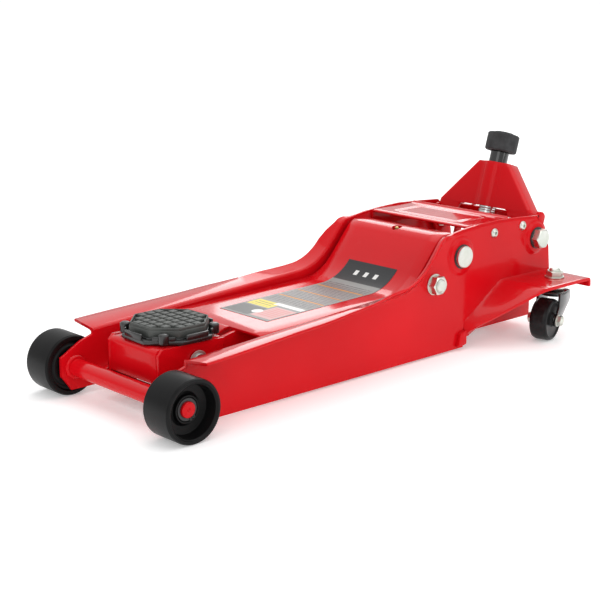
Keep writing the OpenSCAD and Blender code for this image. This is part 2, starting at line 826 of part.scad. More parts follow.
module caster_fork() {
    w = caster_w / 2 + 1.5;
    leg = 3;
    at_caster(true) difference() {
        union() {
            translate([-w - leg, -17, fork_top - 4]) cube([2 * (w + leg), 34, 4]);
            translate([0, 0, fork_top - 4]) cylinder(h = 4, r = 17);
            both() along_x(w, w + leg) hull() {
                translate([-16, fork_top - 2]) square([32, 2]);
                translate([-caster_trail, caster_r]) circle(8, $fn = 32);
            }
        }
        translate([0, 0, 40]) cylinder(h = 40, r = 7.5 + fit);
        rod_x(-40, 40, -caster_trail, caster_r, 5);
    }
}
module caster_axle() {
    w = caster_w / 2 + 4.5;
    at_caster(true) {
        rod_x(-w - 1.5, w + 7.5, -caster_trail, caster_r, 5);
        hex_x(-w - 6, -w, -caster_trail, caster_r, 15);
        rod_x(w, w + 1.5, -caster_trail, caster_r, 8);
        hex_x(w + 1.5, w + 7, -caster_trail, caster_r, 13);
    }
}
module caster_wheel() {
    h = caster_w / 2;
    at_caster(true) translate([0, -caster_trail, caster_r]) rotate([0, 90, 0])
        rotate_extrude($fn = 72) polygon([
            [5 + fit, -h - 1], [8, -h - 1], [9, -h + 2], [caster_r - 4, -h + 2],
            [caster_r - 2.5, -h], [caster_r, -h + 5], [caster_r, h - 5],
            [caster_r - 2.5, h], [caster_r - 4, h - 2], [9, h - 2], [8, h + 1], [5 + fit, h + 1]]);
}
module caster_fork_left() { color(black) home() caster_fork(); }
module caster_fork_right() { color(black) home() mirror([1, 0, 0]) caster_fork(); }
module caster_axle_left() { color(zinc) home() caster_axle(); }
module caster_axle_right() { color(zinc) home() mirror([1, 0, 0]) caster_axle(); }
module caster_wheel_left() { color(black) home() caster_wheel(); }
module caster_wheel_right() { color(black) home() mirror([1, 0, 0]) caster_wheel(); }

side_plate_left();
side_plate_right();
inner_plate_left();
inner_plate_right();
front_axle();
wheel_retaining_rings();
front_cross_tube();
rear_cross_plate();
front_wheel_left();
front_wheel_right();
lift_arm();
arm_pivot_shaft();
arm_pivot_washers();
grease_fitting();
label_plate();
saddle_bracket();
bracket_pin();
bracket_pin_clips();
saddle_tray();
saddle_pad();
levelling_link_left();
levelling_link_right();
link_front_pin();
link_pivot_bolts();
link_pivot_nuts();
pump_block();
reservoir_tube();
cylinder_tube();
gland_nut();
ram();
ram_links();
ram_arm_pin();
ram_crosshead_pin();
oil_filler_plug();
pump_block_bolts();
pump_plunger();
pump_spring();
pump_roller();
pump_roller_pin();
release_valve();
release_coupler();
handle_socket();
roller_bracket();
socket_pivot_bolts();
socket_washers();
handle_tube();
handle_sleeve();
handle_lock_screw();
rear_top_cover();
rear_cover_screws();
caster_cups();
caster_stud_nuts();
caster_fork_left();
caster_fork_right();
caster_axle_left();
caster_axle_right();
caster_wheel_left();
caster_wheel_right();
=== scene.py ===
import json
import math
import bpy
import bmesh
from mathutils import Matrix, Vector

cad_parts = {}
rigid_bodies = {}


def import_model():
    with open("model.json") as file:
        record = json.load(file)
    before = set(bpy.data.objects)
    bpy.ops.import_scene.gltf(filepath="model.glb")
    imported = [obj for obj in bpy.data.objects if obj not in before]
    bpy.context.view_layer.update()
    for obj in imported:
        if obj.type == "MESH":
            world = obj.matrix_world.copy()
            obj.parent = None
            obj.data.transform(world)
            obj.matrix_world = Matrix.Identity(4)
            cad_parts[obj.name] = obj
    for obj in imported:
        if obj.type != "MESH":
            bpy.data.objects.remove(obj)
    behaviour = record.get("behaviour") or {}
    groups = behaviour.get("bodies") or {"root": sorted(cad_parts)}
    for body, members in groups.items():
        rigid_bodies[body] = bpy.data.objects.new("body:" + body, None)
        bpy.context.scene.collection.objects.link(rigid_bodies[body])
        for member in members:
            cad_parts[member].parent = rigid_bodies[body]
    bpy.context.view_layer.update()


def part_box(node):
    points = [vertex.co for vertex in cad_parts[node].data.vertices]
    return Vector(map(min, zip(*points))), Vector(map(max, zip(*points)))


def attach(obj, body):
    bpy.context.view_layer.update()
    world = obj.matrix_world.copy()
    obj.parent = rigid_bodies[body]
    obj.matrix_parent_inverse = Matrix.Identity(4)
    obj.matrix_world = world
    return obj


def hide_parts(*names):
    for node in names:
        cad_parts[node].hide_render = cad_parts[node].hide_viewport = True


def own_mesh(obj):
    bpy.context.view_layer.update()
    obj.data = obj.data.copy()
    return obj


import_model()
axleLow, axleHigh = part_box("front_axle")
axleY = -314  # the drawing's datum is the lift arm's own origin, and its front axle stands here
shiftY = (axleLow.y + axleHigh.y) / 2 - axleY / 1000
print("frame loaded")


def at(x, y, z):
    # a point of the drawing, in millimetres, in the frame's metres
    return Vector((x / 1000, y / 1000 + shiftY, z / 1000))


xAxis, yAxis, zAxis = (1, 0, 0), (0, 1, 0), (0, 0, 1)
origin = Vector((0, 0, 0))


def oblong(left, right, low, high):
    # the four corners of an upright box, or of a ring's section between two radii
    return [(left, low), (right, low), (right, high), (left, high)]


class Wire:
    def __init__(self, finish, socket):
        self.finish = finish
        self.socket = socket

    def maths(self, operation, first, second):
        return self.finish.add("ShaderNodeMath", {"operation": operation}, {0: first, 1: second})

    def __add__(self, other):
        return self.maths("ADD", self, other)

    def __sub__(self, other):
        return self.maths("SUBTRACT", self, other)

    def __rsub__(self, other):
        return self.maths("SUBTRACT", other, self)

    def __mul__(self, other):
        return self.maths("MULTIPLY", self, other)

    def __truediv__(self, other):
        return self.maths("DIVIDE", self, other)

    def __gt__(self, other):
        return self.maths("GREATER_THAN", self, other)

    def __lt__(self, other):
        return self.maths("LESS_THAN", self, other)

    def __pow__(self, other):
        return self.maths("POWER", self, other)

    def __mod__(self, other):
        return self.maths("MODULO", self, other)

    def away(self, other):
        # distance from a value
        return self.finish.add("ShaderNodeMath", {"operation": "ABSOLUTE"}, {0: self - other})

    __radd__ = __add__
    __rmul__ = __mul__


class Finish:
    def __init__(self, name, **constants):
        self.material = bpy.data.materials.new(name)
        self.material.use_nodes = True
        self.nodes = self.material.node_tree.nodes
        self.links = self.material.node_tree.links
        self.nodes.clear()
        self.shader = self.nodes.new("ShaderNodeBsdfPrincipled")
        output = self.nodes.new("ShaderNodeOutputMaterial")
        self.links.new(self.shader.outputs[0], output.inputs[0])
        for socket, value in constants.items():
            self.feed(socket.replace("_", " "), value)

    def add(self, kind, settings=None, inputs=None, output=0):
        node = self.nodes.new(kind)
        for key, value in (settings or {}).items():
            setattr(node, key, value)
        for key, value in (inputs or {}).items():
            if isinstance(value, Wire):
                self.links.new(value.socket, node.inputs[key])
            else:
                node.inputs[key].default_value = value
        return Wire(self, node.outputs[output])

    def feed(self, socket, value):
        if isinstance(value, Wire):
            self.links.new(value.socket, self.shader.inputs[socket])
        else:
            self.shader.inputs[socket].default_value = value

    def place(self, centre=(0, 0, 0), scale=(1, 1, 1), turn=(0, 0, 0)):
        where = self.add("ShaderNodeTexCoord", output=3)
        moved = self.add("ShaderNodeMapping", {"vector_type": "TEXTURE"},
                {"Vector": where, "Location": centre, "Rotation": turn})
        return self.add("ShaderNodeMapping", {"vector_type": "POINT"}, {"Vector": moved, "Scale": scale})

    def noise(self, place, scale, detail=3, rough=0.55):
        return self.add("ShaderNodeTexNoise", None, {"Vector": place, "Scale": scale, "Detail": detail,
                "Roughness": rough})

    def cells(self, place, scale, feature="F1", output=0):
        return self.add("ShaderNodeTexVoronoi", {"feature": feature}, {"Vector": place, "Scale": scale},
                output)

    def between(self, value, low, high, outLow=0.0, outHigh=1.0):
        return self.add("ShaderNodeMapRange", {"clamp": True}, {0: value, 1: low, 2: high, 3: outLow,
                4: outHigh})

    def blendColour(self, factor, first, second):
        return self.add("ShaderNodeMix", {"data_type": "RGBA"}, {0: factor, 6: first, 7: second}, 2)

    def bump(self, height, strength, distance, normal=None):
        inputs = {"Height": height, "Strength": strength, "Distance": distance}
        if normal is not None:
            inputs["Normal"] = normal
        return self.add("ShaderNodeBump", None, inputs)

    def fromAxis(self, place):
        # distance from the x axis
        y, z = (self.add("ShaderNodeSeparateXYZ", None, {0: place}, i) for i in (1, 2))
        return (y * y + z * z) ** 0.5

    def upward(self):
        # how far a face looks up, 0 to 1
        normal = self.add("ShaderNodeNewGeometry", output=1)
        return self.add("ShaderNodeSeparateXYZ", None, {0: normal}, 2)


def colour(red, green, blue):
    return (red, green, blue, 1)


# the pale pink tint for upward faces stands partly for faint dust and partly for a painted sheen, a
# reflection of the bright surroundings painted into the colour
enamelLook = {"red": (0.66, 0.004, 0.009), "deepRed": (0.58, 0.003, 0.007), "peelScale": 420,
        "peelDepth": 0.00004, "dustAndSheenTint": (0.86, 0.42, 0.42)}


def makeEnamel(name, rough, peel):
    v = enamelLook
    f = Finish(name, Coat_Roughness=0.08, Specular_IOR_Level=0.08)
    p = f.place()
    cloud = f.noise(p, 7, 2)
    speck = f.noise(p, 900, 2)
    body = f.blendColour(f.between(cloud, 0.35, 0.7), colour(*v["red"]), colour(*v["deepRed"]))
    # painted sheen: upward faces are blended in patches toward the pale pink, partly faint dust and partly
    # a painted reflection on faces that look up
    upwardPatches = f.between(f.noise(p, 60, 5, 0.7), 0.60, 0.85, 0, 0.06) * f.between(f.upward(), 0.5, 1.0)
    f.feed("Base Color", f.blendColour(upwardPatches, body, colour(*v["dustAndSheenTint"])))
    f.feed("Coat Weight", 0.12 + f.between(f.upward(), 0.35, 0.9, 0, 0.68))
    smear = f.noise(f.place(scale=(30, 4, 30)), 3, 4)
    f.feed("Roughness", rough + f.between(smear, 0.4, 0.8, 0, 0.07) + upwardPatches * 0.8)
    lumps = f.noise(p, v["peelScale"], 2, 0.4) + speck * 0.15
    f.feed("Normal", f.bump(lumps, peel, v["peelDepth"]))
    return f.material


def makeCastRed():
    f = Finish("redCast", Coat_Weight=0.25, Coat_Roughness=0.3)
    p = f.place()
    grain = f.noise(p, 380, 5, 0.7)
    pits = f.cells(p, 260)
    f.feed("Base Color", f.blendColour(f.between(grain, 0.4, 0.75), colour(0.52, 0.008, 0.012),
            colour(0.36, 0.006, 0.010)))
    f.feed("Roughness", 0.34 + grain * 0.2)
    f.feed("Normal", f.bump(grain + pits * 0.5, 0.5, 0.0004))
    return f.material


wheelLook = {"shade": 0.004, "worn": (0.03, 0.03, 0.031), "grain": (0.010, 0.010, 0.0105)}


def makeWheelBlack(name, centre, treadRadius):
    # satin nylon: turned rings on the faces, rolling scuffs on the tread
    f = Finish(name, Specular_IOR_Level=0.16)
    p = f.place(centre)
    radius = f.fromAxis(p)
    tread = f.between(radius, treadRadius * 0.965, treadRadius * 0.99)
    grain = f.noise(p, 700, 4, 0.6)
    scuff = f.noise(f.place(centre, (14, 1, 1)), 60, 5, 0.7)
    worn = tread * f.between(scuff, 0.50, 0.75, 0, 0.22)
    shade = wheelLook["shade"]
    base = f.blendColour(worn, colour(shade, shade, shade * 1.05), colour(*wheelLook["worn"]))
    f.feed("Base Color", f.blendColour(f.between(grain, 0.55, 0.8, 0, 0.2), base,
            colour(*wheelLook["grain"])))
    f.feed("Roughness", 0.30 + f.between(scuff, 0.3, 0.7, 0, 0.12) + worn * 0.4)
    rings = f.add("ShaderNodeMath", {"operation": "SINE"}, {0: radius * 9000})
    f.feed("Normal", f.bump(grain * 0.6 + rings * 0.12 * (1 - tread), 0.25, 0.00012))
    return f.material


def makeZinc(name="zincPlate", tone=(0.60, 0.63, 0.56), rough=0.27):
    # bright zinc with a faint yellow-green passivation
    f = Finish(name, Metallic=1.0)
    p = f.place()
    spangle = f.cells(p, 240, "SMOOTH_F1", 1)
    patch = f.noise(p, 55, 4)
    base = f.blendColour(f.between(patch, 0.35, 0.7), colour(*tone), colour(0.74, 0.75, 0.72))
    warm = f.blendColour(f.between(f.noise(p, 24, 2), 0.5, 0.75, 0, 0.5), base, colour(0.62, 0.60, 0.46))
    f.feed("Base Color", f.blendColour(f.between(spangle, 0, 1, 0, 0.12), warm, colour(0.45, 0.47, 0.44)))
    f.feed("Roughness", rough + patch * 0.14)
    f.feed("Normal", f.bump(f.noise(p, 1400, 4, 0.65) + patch * 0.3, 0.2, 0.00006))
    return f.material


def makeGround(name, tone, rough, along):
    # ground or drawn steel: fine lines along one direction
    f = Finish(name, Metallic=1.0)
    lines = f.noise(f.place(scale=along), 90, 5, 0.7)
    stain = f.noise(f.place(), 40, 3)
    f.feed("Base Color", f.blendColour(f.between(stain, 0.45, 0.75, 0, 0.4), colour(*tone),
            colour(*[c * 0.72 for c in tone])))
    f.feed("Roughness", rough + lines * 0.16)
    f.feed("Normal", f.bump(lines, 0.2, 0.00005))
    return f.material


def makeBlackEnamel(name, shade, rough, coat):
    f = Finish(name, Coat_Weight=coat, Coat_Roughness=0.08)
    p = f.place()
    grain = f.noise(p, 520, 3)
    cloud = f.noise(p, 18, 3)
    f.feed("Base Color", f.blendColour(f.between(cloud, 0.4, 0.75, 0, 0.6), colour(shade, shade, shade),
            colour(shade * 2.2, shade * 2.2, shade * 2.3)))
    f.feed("Roughness", rough + f.between(cloud, 0.35, 0.8, 0, 0.12))
    f.feed("Normal", f.bump(grain, 0.2, 0.00006))
    return f.material


def makeRubber():
    f = Finish("padRubber", Specular_IOR_Level=0.45)
    p = f.place()
    grain = f.noise(p, 1100, 5, 0.7)
    bloom = f.noise(p, 45, 4)
    base = f.blendColour(f.between(bloom, 0.4, 0.75), colour(0.050, 0.054, 0.050),
            colour(0.085, 0.090, 0.083))
    upwardPatches = f.between(f.upward(), 0.8, 1.0, 0, 0.30) * f.between(grain, 0.35, 0.7)
    f.feed("Base Color", f.blendColour(upwardPatches, base, colour(0.20, 0.21, 0.20)))
    f.feed("Roughness", 0.42 + bloom * 0.2)
    f.feed("Normal", f.bump(grain + bloom * 0.4, 0.45, 0.00014))
    return f.material


def makeFoam():
    # closed-cell sleeve foam
    f = Finish("sleeveFoam", Specular_IOR_Level=0.3)
    p = f.place()
    cell = f.cells(p, 620)
    blotch = f.noise(p, 70, 4)
    f.feed("Base Color", f.blendColour(f.between(blotch, 0.35, 0.7), colour(0.030, 0.031, 0.032),
            colour(0.058, 0.060, 0.062)))
    f.feed("Roughness", 0.72 + blotch * 0.2)
    f.feed("Normal", f.bump(1 - cell, 0.6, 0.0003, f.bump(blotch, 0.3, 0.0005)))
    return f.material


def makeBrass():
    f = Finish("brassFitting", Metallic=1.0)
    p = f.place()
    tarnish = f.noise(p, 150, 4)
    f.feed("Base Color", f.blendColour(f.between(tarnish, 0.4, 0.7), colour(0.62, 0.46, 0.20),
            colour(0.36, 0.25, 0.10)))
    f.feed("Roughness", 0.3 + tarnish * 0.25)
    f.feed("Normal", f.bump(tarnish, 0.2, 0.0001))
    return f.material


labelLook = {"paper": (0.235, 0.24, 0.23), "ink": (0.055, 0.055, 0.06), "orange": (0.60, 0.25, 0.03),
        "yellow": (0.80, 0.66, 0.06), "pink": (0.66, 0.36, 0.35), "grey": (0.11, 0.115, 0.112),
        "white": (0.80, 0.80, 0.78)}


def makeLabel():
    # blank bars and fields only: u runs across the label, v from the saddle to the handle
    look = labelLook
    f = Finish("labelPrint", Specular_IOR_Level=0.32)
    uv = f.add("ShaderNodeUVMap", {"uv_map": "labelMap"})
    u = f.add("ShaderNodeSeparateXYZ", None, {0: uv}, 0)
    v = f.add("ShaderNodeSeparateXYZ", None, {0: uv}, 1)

    def field(u0, u1, v0, v1):
        return (u > u0) * (u < u1) * (v > v0) * (v < v1)

    sheet = f.blendColour(f.noise(f.place(), 80, 3) * 0.35, colour(*look["paper"]),
            colour(0.33, 0.33, 0.32))
    rows = ((v * 44) % 1 > 0.55) * (f.noise(uv, 60, 2) > 0.42)
    sheet = f.blendColour(rows * field(0.05, 0.95, 0.31, 0.80) * 0.75, sheet, colour(*look["ink"]))
    for low, high in ((0.405, 0.42), (0.545, 0.558), (0.70, 0.715)):
        sheet = f.blendColour(field(0.04, 0.97, low, high), sheet, colour(*look["orange"]))
    sheet = f.blendColour(field(0.03, 0.52, 0.02, 0.16), sheet, colour(*look["grey"]))
    sheet = f.blendColour(field(0.04, 0.50, 0.175, 0.275), sheet, colour(*look["yellow"]))
    yellowRows = ((v * 36) % 1 > 0.6) * field(0.10, 0.44, 0.19, 0.262)
    sheet = f.blendColour(yellowRows * 0.6, sheet, colour(*look["ink"]))
    sheet = f.blendColour(field(0.55, 0.97, 0.03, 0.22), sheet, colour(*look["pink"]))
    pinkRows = ((v * 40) % 1 > 0.5) * field(0.60, 0.92, 0.06, 0.20)
    sheet = f.blendColour(pinkRows * 0.45, sheet, colour(0.62, 0.10, 0.08))
    sheet = f.blendColour(field(0.40, 0.97, 0.245, 0.285), sheet, colour(*look["white"]))
    du = u.away(0.50) * 1.3
    dv = v.away(0.10) * 3.4
    blob = (du * du + dv * dv) < 0.012
    sheet = f.blendColour(blob, sheet, colour(*look["white"]))
    sheet = f.blendColour(field(0.0, 1.0, 0.84, 1.0), sheet, colour(0.035, 0.036, 0.038))
    marks = ((u * 5) % 1 > 0.35) * ((u * 5) % 1 < 0.72) * field(0.2, 0.8, 0.902, 0.938)
    sheet = f.blendColour(marks, sheet, colour(*look["white"]))
    f.feed("Base Color", sheet)
    f.feed("Roughness", 0.30 + f.noise(f.place(), 300, 3) * 0.12)
    f.feed("Normal", f.bump(f.noise(f.place(), 500, 3), 0.12, 0.00005))
    return f.material


red = makeEnamel("redEnamel", 0.15, 0.16)
redInside = makeEnamel("redEnamelInside", 0.30, 0.3)
castRed = makeCastRed()
zinc = makeZinc()
zincDark = makeZinc("zincDull", (0.40, 0.42, 0.39), 0.38)
groundSteel = makeGround("groundSteel", (0.66, 0.67, 0.66), 0.12, (40, 1, 40))
pinSteel = makeGround("pinSteel", (0.50, 0.51, 0.50), 0.22, (1, 40, 40))
blackSteel = makeBlackEnamel("blackOxide", 0.014, 0.34, 0.0)
blackGloss = makeBlackEnamel("blackGloss", 0.006, 0.14, 0.6)
trayBlack = makeBlackEnamel("trayBlack", 0.010, 0.26, 0.35)
plugBlack = makeBlackEnamel("plugBlack", 0.012, 0.45, 0.0)
rubber = makeRubber()
foam = makeFoam()
brass = makeBrass()
labelPrint = makeLabel()
print("finishes ready")


def bakeModifiers(obj):
    # the evaluated mesh becomes the object's own mesh
    graph = bpy.context.evaluated_depsgraph_get()
    mesh = bpy.data.meshes.new_from_object(obj.evaluated_get(graph))
    obj.modifiers.clear()
    obj.data = mesh
    return obj


def inScene(name, data, finishes=()):
    obj = bpy.data.objects.new(name, data)
    bpy.context.scene.collection.objects.link(obj)
    for item in finishes:
        data.materials.append(item)
    return obj


def asObject(name, points, faces, finish):
    mesh = bpy.data.meshes.new(name)
    mesh.from_pydata([tuple(p) for p in points], [], faces)
    bm = bmesh.new()
    bm.from_mesh(mesh)
    bmesh.ops.remove_doubles(bm, verts=bm.verts, dist=1e-6)
    bmesh.ops.dissolve_degenerate(bm, edges=bm.edges, dist=1e-7)
    bmesh.ops.recalc_face_normals(bm, faces=bm.faces)
    bm.to_mesh(mesh)
    bm.free()
    return inScene(name, mesh, [finish])


def soften(obj, bevel=0.0, steps=2, sharp=38, limit=32):
    if bevel:
        m = obj.modifiers.new("edge", "BEVEL")
        m.width = bevel / 1000
        m.segments = steps
        m.limit_method = "ANGLE"
        m.angle_limit = math.radians(limit)
        m.miter_outer = "MITER_ARC"
        bakeModifiers(obj)
    obj.data.shade_smooth()
    obj.data.set_sharp_from_angle(angle=math.radians(sharp))
    return obj


def thicken(obj, thickness):
    m = obj.modifiers.new("wall", "SOLIDIFY")
    m.thickness = thickness / 1000
    m.offset = -1.0
    m.use_even_offset = True
    return bakeModifiers(obj)


def joined(name, parts):
    # several meshes of one finish become one piece
    bm = bmesh.new()
    for part in parts:
        bm.from_mesh(part.data)
    mesh = bpy.data.meshes.new(name)
    bm.to_mesh(mesh)
    bm.free()
    obj = inScene(name, mesh, parts[0].data.materials[:])
    for part in parts:
        bpy.data.objects.remove(part)
    return obj


def mirrored(name, obj):
    # the same piece on the other side of the jack
    bm = bmesh.new()
    bm.from_mesh(obj.data)
    bmesh.ops.transform(bm, matrix=Matrix.Scale(-1, 4, (1, 0, 0)), verts=bm.verts)
    bmesh.ops.reverse_faces(bm, faces=bm.faces)
    mesh = bpy.data.meshes.new(name)
    bm.to_mesh(mesh)
    bm.free()
    return inScene(name, mesh, obj.data.materials[:])


def moved(obj, matrix):
    obj.data.transform(matrix)
    obj.data.update()
    return obj


def cut(obj, cutter):
    m = obj.modifiers.new("hole", "BOOLEAN")
    m.object = cutter
    m.operation = "DIFFERENCE"
    m.solver = "EXACT"
    bakeModifiers(obj)
    bpy.data.objects.remove(cutter)
    return obj


def finished(obj, body, nodes):
    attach(obj, body)
    if nodes:
        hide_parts(*nodes)
    return obj


def eachSide(near, farName, body, node):
    # the left piece and its mirror image, each on its own body and node
    far = mirrored(farName, near)
    finished(near, body, [node])
    finished(far, body.replace("left", "right"), [node.replace("left", "right")])


def arcPoints(centre, radius, start, end, steps=6):
    return [(centre[0] + radius * math.cos(math.radians(start + (end - start) * i / steps)),
            centre[1] + radius * math.sin(math.radians(start + (end - start) * i / steps)))
            for i in range(steps + 1)]


def rounded(outline, radius, steps=4):
    # a closed outline with every corner turned into an arc; radius is one number or one for each corner
    count = len(outline)
    result = []
    for i, corner in enumerate(outline):
        r = radius[i] if isinstance(radius, (list, tuple)) else radius
        p, q, s = Vector(outline[i - 1]), Vector(corner), Vector(outline[(i + 1) % count])
        a, b = (p - q).normalized(), (s - q).normalized()
        angle = a.angle(b)
        if r <= 0 or angle > math.radians(176):
            result.append(tuple(q))
            continue
        reach = min(r / math.tan(angle / 2), (p - q).length * 0.49, (s - q).length * 0.49)
        r = reach * math.tan(angle / 2)
        middle = q + (a + b).normalized() * (r / math.sin(angle / 2))
        first, last = q + a * reach - middle, q + b * reach - middle
        turn = first.angle_signed(last)
        for k in range(steps + 1):
            spin = Matrix.Rotation(-turn * k / steps, 2)
            result.append(tuple(middle + spin @ first))
    return result


def smoothRun(points, radii, steps=10):
    # an open line through the points, each inner corner turned into an arc
    full = rounded([tuple(p) for p in points], [0, *radii, 0], steps)
    return [Vector(p) for p in full]


def plate(name, outline, low, high, plane, finish, bevel=0.6, holes=(), steps=2):
    # an outline given thickness: plane "x" takes (y, z) points, "z" takes (x, y) points
    mesh = bpy.data.meshes.new(name)
    bm = bmesh.new()
    for loop in [outline, *holes]:
        ring = [bm.verts.new(at(low, p[0], p[1]) if plane == "x" else at(p[0], p[1], low)) for p in loop]
        for i in range(len(ring)):
            bm.edges.new((ring[i - 1], ring[i]))
    if holes:
        bmesh.ops.triangle_fill(bm, edges=bm.edges, use_beauty=True)
    else:
        bm.faces.new(bm.verts)
    step = (high - low) / 1000
    lifted = bmesh.ops.extrude_face_region(bm, geom=bm.faces[:])
    way = Vector((step, 0, 0)) if plane == "x" else Vector((0, 0, step))
    bmesh.ops.translate(bm, vec=way, verts=[g for g in lifted["geom"] if isinstance(g, bmesh.types.BMVert)])
    bmesh.ops.recalc_face_normals(bm, faces=bm.faces)
    bm.to_mesh(mesh)
    bm.free()
    return soften(inScene(name, mesh, [finish]), bevel, steps)


def circle(centre, radius, steps=40):
    return arcPoints(centre, radius, 0, 360 * (steps - 1) / steps, steps - 1)


def lathe(name, profile, centre, axis, finish, steps=96, sharp=34):
    # profile: (radius, distance along the axis) pairs, closed on themselves or on the axis
    axis = Vector(axis).normalized()
    side = axis.orthogonal().normalized()
    other = axis.cross(side)
    points, faces = [], []
    count = len(profile)
    for k in range(steps):
        angle = 2 * math.pi * k / steps
        out = side * math.cos(angle) + other * math.sin(angle)
        points += [centre + out * (r / 1000) + axis * (d / 1000) for r, d in profile]
    for k in range(steps):
        a, b = k * count, (k + 1) % steps * count
        for i in range(count):
            j = (i + 1) % count
            if profile[i][0] < 1e-6 and profile[j][0] < 1e-6:
                continue
            faces.append((a + i, a + j, b + j, b + i))
    return soften(asObject(name, points, faces, finish), 0, 2, sharp)


def softLathe(name, profile, radius, centre, axis, finish, steps=96):
    # a lathe part with every profile corner rounded, apart from the ones on the axis
    radii = [0 if point[0] < 1e-6 else radius for point in profile]
    return lathe(name, rounded(profile, radii, 3), centre, axis, finish, steps)


def sweep(name, rings, finish, sharp=36):
    # closed rings of points joined in order, with both ends capped
    count = len(rings[0])
    points = [p for ring in rings for p in ring]
    faces = []
    for k in range(len(rings) - 1):
        a, b = k * count, (k + 1) * count
        faces += [(a + i, a + (i + 1) % count, b + (i + 1) % count, b + i) for i in range(count)]
    faces.append(tuple(range(count)))
    faces.append(tuple(range((len(rings) - 1) * count, len(rings) * count)))
    return soften(asObject(name, points, faces, finish), 0, 2, sharp)


def skin(name, rows, finish):
    # an open sheet through rows of points
    width = len(rows[0])
    points = [p for row in rows for p in row]
    faces = [(k * width + i, k * width + i + 1, (k + 1) * width + i + 1,
            (k + 1) * width + i) for k in range(len(rows) - 1) for i in range(width - 1)]
    return asObject(name, points, faces, finish)


def facingUp(sheet, index=0):
    # turns the whole sheet over where the face asked for looks down
    if sheet.data.polygons[index].normal.z < 0:
        sheet.data.flip_normals()
    return sheet


def hexHead(name, across, height, finish, hollow=0.0, dome=0.0):
    # a hexagon with the conical chamfer of a turned head; it stands on z = 0
    steps = 72
    flat = across / 2
    crown = flat * 0.94
    points = []
    for k in range(steps):
        angle = 2 * math.pi * k / steps
        corner = flat / math.cos((angle + math.pi / 6) % (math.pi / 3) - math.pi / 6)
        drop = (corner - crown) * 0.55
        for r, z in ((corner, 0), (corner, height - drop), (crown, height), (crown * 0.86, height - 0.25)):
            points.append((r * math.cos(angle) / 1000, r * math.sin(angle) / 1000, z / 1000))
    faces = []
    for k in range(steps):
        a, b = 4 * k, 4 * ((k + 1) % steps)
        faces += [(a + i, b + i, b + i + 1, a + i + 1) for i in range(3)]
    faces.append(tuple(4 * k for k in range(steps)))
    if hollow:
        inner = len(points)
        for k in range(steps):
            angle = 2 * math.pi * k / steps
            for z in (height - 1.2, height - 3.0):
                points.append((hollow * math.cos(angle) / 1000, hollow * math.sin(angle) / 1000, z / 1000))
        for k in range(steps):
            a, b, n = 4 * k + 3, 4 * ((k + 1) % steps) + 3, (k + 1) % steps
            faces.append((a, b, inner + 2 * n, inner + 2 * k))
            faces.append((inner + 2 * k, inner + 2 * n, inner + 2 * n + 1, inner + 2 * k + 1))
        faces.append(tuple(inner + 2 * k + 1 for k in range(steps)))
    else:
        top = len(points)
        points.append((0, 0, (height - 0.25 + dome) / 1000))
        faces += [(4 * k + 3, 4 * ((k + 1) % steps) + 3, top) for k in range(steps)]
    return soften(asObject(name, points, faces, finish), 0, 2, 28)


class Tree:
    def __init__(self, name, sockets):
        self.tree = bpy.data.node_groups.new(name, "GeometryNodeTree")
        self.ids = {}
        for label, kind in sockets:
            socket = self.tree.interface.new_socket(label, in_out="INPUT", socket_type=kind)
            self.ids[label] = socket.identifier
        self.tree.interface.new_socket("Geometry", in_out="OUTPUT", socket_type="NodeSocketGeometry")
        self.start = self.tree.nodes.new("NodeGroupInput")
        self.end = self.tree.nodes.new("NodeGroupOutput")

    def given(self, label):
        return self.start.outputs[label]

    def add(self, kind, settings=None, inputs=None):
        node = self.tree.nodes.new(kind)
        for key, value in (settings or {}).items():
            setattr(node, key, value)
        for key, value in (inputs or {}).items():
            if isinstance(value, bpy.types.NodeSocket):
                self.tree.links.new(value, node.inputs[key])
            else:
                node.inputs[key].default_value = value
        return node.outputs

    def close(self, geometry):
        real = self.add("GeometryNodeRealizeInstances", None, {0: geometry})
        painted = self.add("GeometryNodeSetMaterial", None, {0: real[0], "Material": self.given("Finish")})
        self.tree.links.new(painted[0], self.end.inputs[0])

    def run(self, name, mesh, values, finish):
        # a new object with the tree's result as its own plain mesh
        obj = inScene(name, mesh)
        modifier = obj.modifiers.new("tree", "NODES")
        modifier.node_group = self.tree
        for label, value in {**values, "Finish": finish}.items():
            modifier[self.ids[label]] = value
        obj.update_tag()
        bpy.context.view_layer.update()
        bakeModifiers(obj)
        if finish.name not in [m.name for m in obj.data.materials if m]:
            obj.data.materials.append(finish)
        return obj


def buildPlacer():
    # copies of one part on the vertices of a mesh, each turned by the vertex's own "turn"
    tree = Tree("placeCopies", [("Points", "NodeSocketGeometry"), ("Part", "NodeSocketObject"),
            ("Size", "NodeSocketFloat"), ("Finish", "NodeSocketMaterial")])
    part = tree.add("GeometryNodeObjectInfo", {"transform_space": "ORIGINAL"}, {0: tree.given("Part")})
    turn = tree.add("GeometryNodeInputNamedAttribute", {"data_type": "FLOAT_VECTOR"}, {"Name": "turn"})
    copies = tree.add("GeometryNodeInstanceOnPoints", None,
            {"Points": tree.given("Points"), "Instance": part["Geometry"], "Rotation": turn[0],
            "Scale": tree.given("Size")})
    tree.close(copies[0])
    return tree


